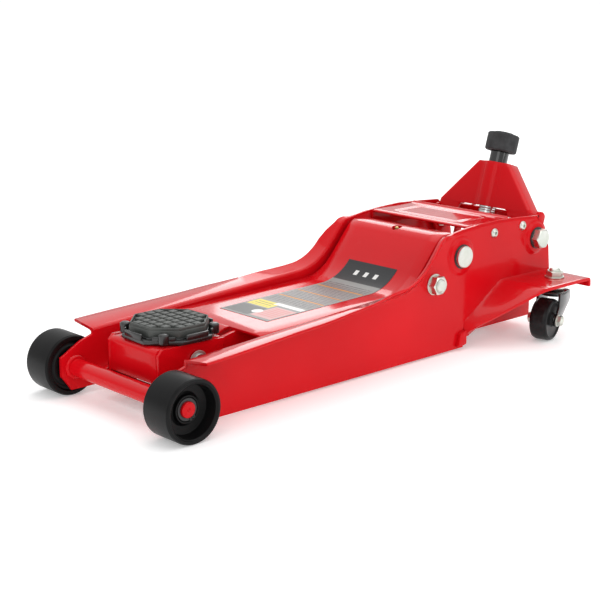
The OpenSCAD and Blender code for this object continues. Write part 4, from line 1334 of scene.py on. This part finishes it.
def socketPath(half):
    # outside of the folded sheet at one height, from one rear edge round to the other
    v = socket
    front, r = v["front"], v["bend"]
    right = [(half, front + v["depth"])]
    right += [(x, y) for x, y in arcPoints((half - r, front + r), r, 0, -90, 6)]
    edge = math.degrees(math.asin(-front / v["tube"]))
    side = v["tube"] * math.cos(math.radians(edge))
    right += [(side + 5, front), (side + 2.4, front - 0.25), (side + 0.4, front - 1.5)]
    ridge = arcPoints((0, 0), v["tube"], -edge - 7, -180 + edge + 7, 12)
    left = [(-x, y) for x, y in reversed(right)]
    return right + ridge + left


def buildSocket():
    v = socket
    rows = []
    heights = [v["low"], v["low"] + 3, v["knee"] - 4, v["knee"],
            v["knee"] + 4] + [v["knee"] + 4 + (v["height"] - v["knee"] - 4) * k / 10 for k in range(1,
            11)]
    for z in heights:
        t = max(0, (z - v["knee"]) / (v["height"] - v["knee"]))
        half = v["half"] + (v["top"] - v["half"]) * t
        rows.append([local(x, y, z) for x, y in socketPath(half)])
    sheet = skin("socketSheet", rows, red)
    outside = min(sheet.data.polygons, key=lambda f: f.center.y)
    if outside.normal.y > 0:
        sheet.data.flip_normals()
    thicken(sheet, v["sheet"])
    wide, low, high = v["slot"]
    window = rounded(oblong(-wide, wide, low, high), [0, 0, 8, 8], 5)
    points = [local(x, y, z) for y in (-30, -5) for x, z in window]
    n = len(window)
    faces = [tuple(range(n)), tuple(range(n, 2 * n))]
    faces += [(i, (i + 1) % n, n + (i + 1) % n, n + i) for i in range(n)]
    cut(sheet, asObject("window", points, faces, red))
    soften(sheet, 0.6, 2, 40, 50)
    moved(sheet, upright)
    parts = [sheet]
    tube = softLathe("socketTube", oblong(v["bore"], v["tube"] - 0.6, 36, v["height"] - 0.4), 1.0, origin,
            zAxis, red, 72)
    parts.append(moved(tube, upright))
    cheek = rounded([(-15, -6), (-6, -15), (6, -15), (15, -6), (16, 12), (24, 18), (24, 32), (18, 36),
            (8, 36), (8, 24), (-15, 24)], [8, 8, 8, 8, 8, 6, 5, 5, 4, 4, 3], 4)
    hole = circle((0, 0), 8.1, 28)
    for sign in (1, -1):
        side = plate("cheek", cheek, v["half"] - v["sheet"] if sign > 0 else -v["half"],
                v["half"] if sign > 0 else -v["half"] + v["sheet"], "x", red, 0.8, [hole])
        moved(side, upright @ Matrix.Translation((0, -shiftY, 0)))
        parts.append(side)
    by, bz, br = v["bar"]
    reach = v["half"] - v["sheet"]
    bar = softLathe("bar", oblong(0, br, -reach, reach), 0.6, local(0, by, bz), xAxis, red, 40)
    holder = [moved(bar, upright)]
    rx, dy, dz = v["roller"]
    tilt = math.radians(v["lean"])
    ry, rz = dy * math.cos(tilt) - dz * math.sin(tilt), dy * math.sin(tilt) + dz * math.cos(tilt)
    ear = rounded([(ry - 7.5, rz - 3), (ry - 4, rz - 7.5), (ry + 4, rz - 7.5), (ry + 7.5, rz - 3),
            (by + 5, bz + 3), (by + 3, bz + 6), (by - 3, bz + 6), (by - 5, bz + 3)], 4, 4)
    for x in (rx - 12, rx + 9):
        one = plate("ear", ear, x, x + 3, "x", red, 0.5)
        holder.append(moved(one, upright @ Matrix.Translation((0, -shiftY, 0))))
    finished(joined("handleSocketFold", parts), "socket_body", ["handle_socket"])
    finished(joined("rollerBracketBar", holder), "socket_body", ["roller_bracket"])
    screw = hexHead("lockHex", 14, 6, zinc, dome=0.3)
    moved(screw,
            upright @ Matrix.Translation(local(0, 17.2, handle["screw"])) @ Matrix.Rotation(-math.pi / 2,
            4, "X"))
    stem = moved(softLathe("lockStem", oblong(0, 4, 0, 5), 0.4, origin, zAxis, zinc, 32),
            upright @ Matrix.Translation(local(0, 13.1, handle["screw"])) @ Matrix.Rotation(-math.pi / 2,
            4, "X"))
    finished(joined("handleLockHex", [screw, stem]), "socket_body", ["handle_lock_screw"])
    y, z = v["pivot"]
    shanks, washers = [], []
    for sign in (1, -1):
        shanks.append(softLathe("shank", oblong(0, 7.95, 75, 95), 0.4, at(0, y, z), (sign, 0, 0), zinc,
                40))
        washers.append(softLathe("washer", oblong(8.05, 14.6, v["washerFace"], v["boltFace"]), 0.5,
                at(0, y, z), (sign, 0, 0), blackSteel, 56))
    heads = copies("socketBoltHeads", hexHead("socketHex", 24, 10, zinc, dome=0.2),
            facingOut(v["boltFace"], y, z), zinc)
    finished(joined("socketPivotHexes", [*shanks, heads]), "frame", ["socket_pivot_bolts"])
    finished(joined("socketPivotWashers", washers), "frame", ["socket_washers"])
    print("handle socket built")


def buildHandle():
    v = handle
    tube = softLathe("tube", oblong(v["inner"], v["radius"], v["start"], v["end"]), 0.7, origin, zAxis,
            blackGloss, 96)
    finished(moved(tube, upright), "handle_body", ["handle_tube"]).name = "handleLowerTube"
    ends = [(v["radius"] + 0.05, v["sleeveStart"] + 0.8), (14.5, v["sleeveStart"]),
            (v["sleeve"] - 1.6, v["sleeveStart"]), (v["sleeve"], v["sleeveStart"] + 1.8),
            (v["sleeve"], v["sleeveEnd"] - 1.8), (v["sleeve"] - 1.6, v["sleeveEnd"]),
            (14.5, v["sleeveEnd"]), (v["radius"] + 0.05, v["sleeveEnd"] - 0.8)]
    sleeve = softLathe("sleeve", ends, 0.9, origin, zAxis, foam, 96)
    finished(moved(sleeve, upright), "handle_body", ["handle_sleeve"]).name = "handleBumperSleeve"
    coupler = softLathe("coupler", [(0, 7), (6, 7), (6, 18), (12, 18), (12, 24), (11.2, 25), (11.2, 27),
            (12, 28), (12, 38), (0, 38)], 0.6, origin, zAxis, groundSteel, 64)
    finished(moved(coupler, upright), "handle_body", ["release_coupler"]).name = "releaseCouplerPlug"
    print("handle built")


buildSocket()
buildHandle()


topCover = {"start": 173, "end": 256, "half": 85.2, "top": 161, "sheet": 2.5, "skirt": 138, "bend": 4,
        "panel": (55, 188, 241), "groove": 4.2, "depth": 1.3, "roll": 3,
        "screws": [(222, 146.6), (281, 148.6)], "step": 2.4}


def coverHeight(x, y):
    # flat top with a pressed groove round a panel, a turned-down front lip and a rolled-up rear edge
    v = topCover
    half, y0, y1 = v["panel"]
    outside = Vector((max(0, abs(x) - half + 8),
            max(0, abs(y - (y0 + y1) / 2) - (y1 - y0) / 2 + 8))).length - 8
    inside = max(abs(x) - half, abs(y - (y0 + y1) / 2) - (y1 - y0) / 2)
    ring = abs(outside if outside > -7.9 else inside)
    press = v["depth"] * max(0, 1 - (ring / v["groove"]) ** 2) ** 1.5
    lipFront = 1.6 * max(0, 1 - (y - v["start"]) / 5) ** 2
    rollRear = v["roll"] * max(0, (y - v["end"] + 6) / 6) ** 2
    return v["top"] - press - lipFront + rollRear


def buildTopCover():
    v = topCover
    r = v["bend"]
    flat = v["half"] - r
    count = int(2 * flat / v["step"])
    xs = [-flat + 2 * flat * i / count for i in range(count + 1)]
    rows = []
    length = int((v["end"] - v["start"]) / v["step"])
    for k in range(length + 1):
        y = v["start"] + (v["end"] - v["start"]) * k / length
        edge = coverHeight(flat, y)
        down = v["skirt"] + max(0, 11 * (1 - (y - v["start"]) / 34))
        left = [at(-v["half"], y, down), at(-v["half"], y, edge - r - 3)]
        left += [at(-flat + px, y, edge - r + pz) for px, pz in arcPoints((0, 0), r, 180, 105, 4)]
        right = [Vector((-p.x, p.y, p.z)) for p in reversed(left)]
        rows.append(left + [at(x, y, coverHeight(x, y)) for x in xs] + right)
    sheet = skin("topCoverSheet", rows, red)
    facingUp(sheet, len(sheet.data.polygons) // 2)
    thicken(sheet, v["sheet"])
    soften(sheet, 0.5, 2, 46, 60)
    # side tongues that run back to the rear screws
    outline = rounded([(v["end"] - 6, 138), (292, 138), (292, 154), (v["end"] - 2, 157)], [0, 5, 5, 0], 4)
    near = plate("tongue", outline, v["half"] - v["sheet"], v["half"], "x", red, 0.5)
    far = mirrored("tongueFar", near)
    finished(joined("rearTopCoverSheet", [sheet, near, far]), "frame", ["rear_top_cover"])
    print("rear cover built")


def coverScrewHead():
    # button head with a hexagon socket
    profile = [(0, -6), (3.9, -6), (3.9, 0), (6.3, 0), (6.3, 0.7), (5.9, 1.6), (5.0, 2.5), (3.9, 3.1),
            (2.7, 3.3)]
    points, faces = [], []
    steps = 48
    count = len(profile)
    for k in range(steps):
        angle = 2 * math.pi * k / steps
        for r, z in profile:
            points.append(local(r * math.cos(angle), r * math.sin(angle), z))
        recess = 2.0 / math.cos((angle + math.pi / 6) % (math.pi / 3) - math.pi / 6)
        points.append(local(recess * math.cos(angle), recess * math.sin(angle), 3.1))
        points.append(local(recess * math.cos(angle), recess * math.sin(angle), 1.0))
    width = count + 2
    for k in range(steps):
        a, b = width * k, width * ((k + 1) % steps)
        faces += [(a + i, b + i, b + i + 1, a + i + 1) for i in range(1, width - 1)]
    faces.append(tuple(width * k + width - 1 for k in range(steps)))
    faces.append(tuple(width * k + 1 for k in range(steps)))
    return soften(asObject("screwHead", points, faces, zinc), 0, 2, 32)


def buildCoverScrews():
    places = [(at(sign * 89.5, y, z), toLeft if sign > 0 else toRight) for sign in (1, -1) for y,
            z in topCover["screws"]]
    screws = copies("rearCoverScrewSet", coverScrewHead(), places, zinc)
    finished(screws, "frame", ["rear_cover_screws"])


buildTopCover()
buildCoverScrews()


pump = {"front": 276, "rear": 334, "top": 90, "low": 21, "half": 45, "ramZ": 70.5, "tube": 24, "bore": 19,
        "reservoir": 37, "plungerX": -50, "plungerZ": 102, "plunger": 6, "barrel": (254, 286),
        "plug": (34, 300), "hump": (24, 102), "bolts": [(-30, 288), (30, 288), (-30, 322), (30, 322)],
        "ram": 12, "piston": (313, 324), "gland": (238, 246, 250), "tubeEnd": 330, "shell": 3,
        "valveY": 309.5, "plungerEnd": 316.2, "spring": {"Turns": 4.0, "Radius": 0.0074, "Wire": 0.0011},
        "boltFace": 16}


def box(name, x0, x1, y0, y1, z0, z1, finish, bevel=1.5):
    outline = rounded(oblong(x0, x1, y0, y1), 3, 3)
    return plate(name, outline, z0, z1, "z", finish, bevel)


def buildCasting():
    v = pump
    px, pz = v["plungerX"], v["plungerZ"]
    y0, y1 = v["barrel"]
    wide, seat = v["hump"]
    ring = [(6.1, 0), (11, 0), (11, 2), (9.8, 3), (6.1, 3)]
    block = [box("block", -v["half"], v["half"], v["front"], v["rear"], v["low"], v["top"], castRed, 2),
            box("barrel", px - 12, px + 12, y0, y1 - 0.2, pz - 12, pz + 12, castRed, 2),
            box("shoulder", px - 12, px + 12, v["front"], y1, 60, pz, castRed, 1.5),
            box("hump", -wide, wide, v["front"], v["rear"], v["top"] - 2, seat - 1, castRed, 3),
            softLathe("valveSeat", ring, 0.5, at(0, v["valveY"], seat - 2.9), zAxis, castRed, 48),
            softLathe("gland", oblong(6.1, 9.5, 0, 1.2), 0.3, at(px, y1 - 0.6, pz), yAxis, groundSteel,
            40)]
    finished(joined("pumpCasting", block), "frame", ["pump_block"])


def buildCylinder():
    v = pump
    centre, bore, tube, shell = at(0, 0, v["ramZ"]), v["bore"] + 0.1, v["tube"], v["reservoir"]
    front, step, rear = v["gland"]
    body = softLathe("cylinderTubeBody", oblong(bore, tube, step, v["tubeEnd"]), 0.8, centre, yAxis,
            blackSteel, 80)
    finished(body, "frame", ["cylinder_tube"])
    wall = oblong(shell - v["shell"], shell, rear, v["front"])
    finished(softLathe("reservoirShell", wall, 0.6, centre, yAxis, redInside, 96), "frame",
            ["reservoir_tube"])
    # the nut's rear ring is open for the cylinder tube and the piston's end of stroke
    nut = [(12.1, front), (13.5, front - 0.01), (30, front), (30, step - 0.5), (shell, step - 0.2),
            (shell, rear), (tube + 0.2, rear), (tube + 0.2, step), (12.1, step)]
    finished(softLathe("glandNutBody", nut, 0.5, centre, yAxis, zincDark, 80), "frame", ["gland_nut"])


def buildRam():
    v = pump
    crosshead = leverPin[0] + 30
    start, end = v["piston"]
    outline = [(0, crosshead + 9), (v["ram"] - 0.1, crosshead + 9), (v["ram"] - 0.1, start),
            (v["bore"] - 0.1, start), (v["bore"] - 0.1, end), (0, end)]
    rod = softLathe("rod", outline, 0.5, at(0, 0, v["ramZ"]), yAxis, groundSteel, 64)
    frameEye = rounded(oblong(crosshead - 11, crosshead + 11, v["ramZ"] - 17, v["ramZ"] + 17), 3, 4)
    window = rounded(oblong(crosshead - 7.3, crosshead + 7.3, v["ramZ"] - 12, v["ramZ"] + 12), 2, 3)
    eye = plate("eye", frameEye, -9, 9, "x", groundSteel, 0.8, [window])
    finished(joined("ramRod", [rod, eye]), "ram_body", ["ram"])
    ly, lz = leverPin
    bar = rounded([(ly - 12, lz - 9), (ly - 5, lz - 12.5), (crosshead + 5, lz - 12.5),
            (crosshead + 12, lz - 9), (crosshead + 12, lz + 9), (crosshead + 5, lz + 12.5),
            (ly - 5, lz + 12.5), (ly - 12, lz + 9)], 7, 4)
    holes = [circle((ly, lz), 8.1, 28), circle((crosshead, lz), 6.05, 28)]
    near = plate("ramLinkNear", bar, 12, 18, "x", blackSteel, 0.8, holes)
    far = mirrored("ramLinkFar", near)
    finished(joined("ramLinkPair", [near, far]), "ram_link_body", ["ram_links"])
    for name, node, y, half, r, body in (("ramArmBar", "ram_arm_pin", ly, 41, 7.95, "lift_arm_body"),
            ("crossheadBar", "ram_crosshead_pin", crosshead, 21, 5.95, "ram_link_body")):
        pin = softLathe(name, oblong(0, r, -half, half), 0.8, at(0, y, lz), xAxis, pinSteel, 40)
        finished(pin, body, [node])


def buildBlockFittings():
    v = pump
    low = v["boltFace"]
    cap = [(0, -8), (6, -8), (6, 0), (9, 0), (9, 3.6), (7.8, 5), (3.2, 5), (2.6, 3.4), (0, 3.4)]
    plug = softLathe("plugCap", cap, 0.5, at(*v["plug"], v["top"]), zAxis, plugBlack, 40)
    finished(plug, "frame", ["oil_filler_plug"])
    shank = oblong(0, 3.95, low, low + 18)
    shanks = [softLathe("shank", shank, 0.3, at(x, y, 0), zAxis, zincDark, 24) for x, y in v["bolts"]]
    places = [(at(x, y, low), (math.pi, 0, 0)) for x, y in v["bolts"]]
    heads = copies("blockBoltHeads", hexHead("blockHex", 13, 6, zincDark), places, zincDark)
    finished(joined("pumpBlockBoltSet", [*shanks, heads]), "frame", ["pump_block_bolts"])


def buildPlunger():
    v = pump
    px, pz, y1, r = v["plungerX"], v["plungerZ"], v["barrel"][1], v["plunger"] - 0.05
    end = v["plungerEnd"]
    bar = [(0, y1 - 7.5), (r, y1 - 7.5), (r, end - 4), (8.5, end - 4), (8.5, end - 0.6), (7.6, end),
            (0, end)]
    plunger = softLathe("plungerBar", bar, 0.4, at(px, 0, pz), yAxis, groundSteel, 56)
    finished(plunger, "plunger_body", ["pump_plunger"])
    long = end - 4 - y1 - 2.2
    spring = coil.run("springPoints", bpy.data.meshes.new("springPoints"),
            {**v["spring"], "Length": long / 1000}, zinc)
    spring.name = "plungerReturnSpring"
    moved(spring, Matrix.Translation(at(px, y1 + 1.1, pz)) @ Matrix.Rotation(-math.pi / 2, 4, "X"))
    spring.data.shade_smooth()
    spring.data.set_sharp_from_angle(angle=math.radians(60))
    finished(spring, "plunger_body", ["pump_spring"])
    tuple(at(px, end - 4, pz))
    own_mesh(spring)
    rx, dy, dz = socket["roller"]
    ry, rz = socket["pivot"][0] + dy, socket["pivot"][1] + dz
    wheel = [(4.1, -8), (6.2, -8), (7, -7.2), (7, 7.2), (6.2, 8), (4.1, 8)]
    roller = softLathe("rollerWheel", wheel, 0.4, at(rx, ry, rz), xAxis, groundSteel, 56)
    finished(roller, "roller_body", ["pump_roller"])
    pin = softLathe("rollerBar", oblong(0, 3.95, -12.5, 12.5), 0.4, at(rx, ry, rz), xAxis, pinSteel, 32)
    finished(pin, "socket_body", ["pump_roller_pin"])


def buildReleaseValve():
    y, seat = pump["valveY"], pump["hump"][1]
    outline = [(0, seat - 6.5), (5.95, seat - 6.5), (5.95, seat + 0.5), (8, seat + 0.5), (8, seat + 11),
            (0, seat + 11)]
    stem = softLathe("stem", outline, 0.6, at(0, y, 0), zAxis, groundSteel, 48)
    tongue = box("valveTongue", -2.5, 2.5, y - 7, y + 7, seat + 10.5, seat + 23, groundSteel, 0.6)
    finished(joined("releaseValveStem", [stem, tongue]), "valve_body", ["release_valve"])


def buildRearFrame():
    outline = [(85.5, 166), (85.5, 182), (70, 216), (70, 330), (66, 330), (66, 214.5), (81.5, 180.5),
            (81.5, 166)]
    near = plate("innerPlateLeftSheet", rounded(outline, [0, 12, 16, 0.8, 0.8, 12, 16, 0.8], 5), 14, 74,
            "z", red, 0.7)
    eachSide(near, "innerPlateRightSheet", "frame", "inner_plate_left")
    holes = [circle(p, 4, 20) for p in pump["bolts"]]
    floorPlate = plate("rearCrossPlateSheet", rounded(oblong(-66, 66, 268, 330), 0.6, 1), 16, 21, "z",
            redInside, 0.6, holes)
    finished(floorPlate, "frame", ["rear_cross_plate"])


for build in (buildCasting, buildCylinder, buildRam, buildBlockFittings, buildPlunger, buildReleaseValve):
    build()
buildRearFrame()
print("hydraulic unit built")


caster = {"x": 125, "y": 309, "radius": 28, "width": 25, "trail": 24, "turn": 14, "forkTop": 63, "leg": 3,
        "clear": 1.5, "shelf": 80, "sheet": 4}
swivelTurn = Matrix.Rotation(math.radians(caster["turn"]), 4, "Z")
swivelPlace = Matrix.Translation(at(caster["x"], caster["y"], 0)) @ swivelTurn
unshift = Matrix.Translation((0, -shiftY, 0))


def buildCaster():
    v = caster
    w = v["width"] / 2 + v["clear"]
    top, leg, trail, r = v["forkTop"], v["leg"], v["trail"], v["radius"]
    # fork: bearing plate with two bent legs
    legOutline = rounded([(-17, top - 1), (17, top - 1), (17, top - 14), (-trail + 8.5, r - 3),
            (-trail + 4, r - 8.5), (-trail - 4, r - 8.5), (-trail - 8.5, r - 3), (-18, top - 18)],
            [0, 0, 9, 6, 6, 6, 6, 8], 5)
    hole = circle((-trail, r), 5.0, 24)
    parts = []
    for x in (-w - leg, w):
        parts.append(plate("leg", legOutline, x, x + leg, "x", blackGloss, 0.8, [hole]))
    deck = rounded(oblong(-w - leg, w + leg, -17, 17), 6, 5)
    bearing = circle((0, 0), 7.6, 32)
    parts.append(plate("deck", deck, top - 4, top, "z", blackGloss, 1.0, [bearing]))
    race = [(11, top - 1), (16.6, top - 1), (17, top - 3.4), (17, top - 6), (15, top - 6.4), (11, top - 4)]
    for part in parts:
        moved(part, unshift)
    parts.append(softLathe("race", race, 0.5, origin, zAxis, blackGloss, 64))
    fork = moved(joined("casterForkLeftSheet", parts), swivelPlace)
    # wheel
    h = v["width"] / 2
    profile = rounded([(5.1, -h - 1), (8, -h - 1), (9.4, -h + 2.2), (r - 5.5, -h + 2.2), (r - 4, -h),
            (r - 1.2, -h + 1.4), (r, -h + 5), (r, h - 5), (r - 1.2, h - 1.4), (r - 4, h),
            (r - 5.5, h - 2.2), (9.4, h - 2.2), (8, h + 1), (5.1, h + 1)], 1.2, 4)
    hub = Vector((0, -trail / 1000, r / 1000))
    spun = lathe("casterWheelLeftRoller", profile, hub, xAxis, red, 120, 26)
    moved(spun, swivelPlace)
    # axle bolt with washers, head and nut
    axle = [softLathe("bolt", [(0, -w - leg - 1), (4.95, -w - leg - 1), (4.95, w + leg + 6.5),
            (4, w + leg + 7.4), (0, w + leg + 7.4)], 0.3, hub, xAxis, zinc, 32),
            softLathe("washer", oblong(5.05, 8, w + leg, w + leg + 1.5), 0.3, hub, xAxis, zinc, 40),
            softLathe("washer", oblong(5.05, 7.6, w + leg, w + leg + 1), 0.3, hub, (-1, 0, 0), zinc, 40)]
    side = Vector((1, 0, 0)) / 1000
    head = copies("axleHead", hexHead("axleHex", 13.5, 5, zinc), [(hub - side * (w + leg + 1), toRight)],
            zinc)
    nut = copies("axleNut", hexHead("axleNutHex", 12.6, 5.4, zinc, hollow=4.9),
            [(hub + side * (w + leg + 1.5), toLeft)], zinc)
    axle = moved(joined("casterAxleLeftBolt", [*axle, head, nut]), swivelPlace)
    for name, piece, body, node, slot in (("casterForkRightSheet", fork, "caster_left_body",
            "caster_fork_left", "dark_steel"), ("casterAxleRightBolt", axle, "caster_left_body",
            "caster_axle_left", "zinc"), ("casterWheelRightRoller", spun, "caster_wheel_left_body",
            "caster_wheel_left", "black_plastic")):
        other = mirrored(name, piece)
        if piece is spun:
            for wheel in (spun, other):
                centre = sum((Vector(c) for c in wheel.bound_box), Vector()) / 8
                sign = 1 if wheel is spun else -1
                wheel.data.materials.clear()
                wheel.data.materials.append(makeCasterNylon("casterNylon"
                        + ("Left" if sign > 0 else "Right"), centre, sign * math.radians(v["turn"])))
        finished(piece, body, [node])
        finished(other, body.replace("left", "right"), [node.replace("left", "right")])


def makeCasterNylon(name, centre, turn):
    f = Finish(name, Specular_IOR_Level=0.2)
    p = f.place(centre, turn=(0, 0, turn))
    radius = f.fromAxis(p)
    worn = f.between(radius, (caster["radius"] - 0.8) / 1000,
            (caster["radius"] - 0.1) / 1000) * f.between(f.noise(p, 160, 5, 0.7), 0.45, 0.75, 0, 0.5)
    grain = f.noise(p, 600, 4)
    f.feed("Base Color", f.blendColour(worn, colour(0.007, 0.007, 0.0075), colour(0.035, 0.035, 0.035)))
    f.feed("Roughness", 0.24 + grain * 0.12 + worn * 0.35)
    f.feed("Normal", f.bump(grain, 0.2, 0.0001))
    return f.material


def buildCasterMounts():
    v = caster
    under = v["shelf"] - v["sheet"]
    top = v["forkTop"]
    cups, tops = [], []
    for sign in (1, -1):
        spot = at(sign * v["x"], v["y"], 0)
        cups.append(softLathe("cup", [(0, top - 6), (7.4, top - 6), (7.4, top + 0.4), (13, top + 0.4),
                (15.5, top + 4), (16.8, under - 3), (18, under - 3), (18, under), (7.4, under + 0.2),
                (7.4, under + 4), (0, under + 4)], 0.7, spot, zAxis, zinc, 64))
        tops.append(softLathe("washer", oblong(7.6, 13, v["shelf"], v["shelf"] + 2), 0.5, spot, zAxis,
                zinc, 48))
        tops.append(softLathe("stud", [(0, 70), (7.2, 70), (7.2, v["shelf"] + 11), (5.4, v["shelf"] + 13),
                (0, v["shelf"] + 13)], 0.5, spot, zAxis, zinc, 40))
    finished(joined("casterBearingCups", cups), "frame", ["caster_cups"])
    nuts = copies("studNuts", hexHead("studHex", 20, 7.4, zinc, hollow=7.3),
            [(at(sign * v["x"], v["y"], v["shelf"] + 2), (0, 0, 0.35 * sign)) for sign in (1, -1)], zinc)
    finished(joined("casterStudNutSet", [*tops, nuts]), "frame", ["caster_stud_nuts"])


buildCaster()
buildCasterMounts()
print("casters built")


def buildFloor():
    f = Finish("studioPaper", Roughness=0.9, Emission_Color=(1, 1, 1, 1), Emission_Strength=0.28)
    soft = f.noise(f.place(), 4, 3)
    f.feed("Base Color", f.blendColour(soft, colour(0.90, 0.90, 0.90), colour(0.94, 0.94, 0.94)))
    f.feed("Normal", f.bump(f.noise(f.place(), 200, 3), 0.05, 0.0002))
    mesh = bpy.data.meshes.new("studioFloor")
    reach = 60
    mesh.from_pydata([(-reach, -reach, 0), (reach, -reach, 0), (reach, reach, 0), (-reach, reach, 0)], [],
            [(0, 1, 2, 3)])
    inScene("studioFloor", mesh, [f.material])


studio = {"look": "Standard", "horizon": 0.55, "zenith": 0.88,
        "panels": [("overhead", (0.0, 0.3, 2.2), (0, 0, 0), 2.4, 14),
        ("leftFront", (1.2, -2.4, 1.3), (0, 0, 0.08), 1.6, 9),
        ("rightSide", (2.4, 1.0, 1.1), (0, 0.1, 0.08), 1.4, 9), ("backRim", (-1.6, 1.9, 1.5), (0, 0, 0.1),
        1.4, 14)]}


def buildLight():
    world = bpy.data.worlds.new("studioWorld")
    bpy.context.scene.world = world
    world.use_nodes = True
    tree = world.node_tree
    way = tree.nodes.new("ShaderNodeTexCoord")
    parts = tree.nodes.new("ShaderNodeSeparateXYZ")
    fade = tree.nodes.new("ShaderNodeMapRange")
    fade.inputs["From Max"].default_value = 0.6
    fade.inputs["To Min"].default_value = studio["horizon"]
    fade.inputs["To Max"].default_value = studio["zenith"]
    background = tree.nodes["Background"]
    background.inputs[0].default_value = (1, 1, 1, 1)
    tree.links.new(way.outputs["Generated"], parts.inputs[0])
    tree.links.new(parts.outputs[2], fade.inputs["Value"])
    tree.links.new(fade.outputs[0], background.inputs[1])
    bpy.context.scene.view_settings.view_transform = studio["look"]
    for name, place, aim, size, watts in studio["panels"]:
        lamp = bpy.data.lights.new(name, "AREA")
        lamp.shape = "SQUARE"
        lamp.size = size
        lamp.energy = watts
        obj = inScene(name, lamp)
        obj.location = place
        obj.rotation_euler = (Vector(place) - Vector(aim)).to_track_quat("Z", "Y").to_euler()


view = {"target": (-0.013, -0.06329, 0.060), "azimuth": 47.65, "elevation": 14.99, "distance": 1.6498,
        "lens": 79.96, "shiftX": 0.0262, "shiftY": 0.0320}


def buildCamera():
    v = view
    az, el = math.radians(v["azimuth"]), math.radians(v["elevation"])
    away = Vector((math.sin(az) * math.cos(el), -math.cos(az) * math.cos(el), math.sin(el)))
    data = bpy.data.cameras.new("studioCamera")
    data.lens = v["lens"]
    data.sensor_width = 36
    data.shift_x, data.shift_y = v["shiftX"], v["shiftY"]
    camera = inScene("studioCamera", data)
    camera.location = Vector(v["target"]) + away * v["distance"]
    camera.rotation_euler = away.to_track_quat("Z", "Y").to_euler()
    bpy.context.scene.camera = camera


buildFloor()
buildLight()
buildCamera()
print("scene ready")
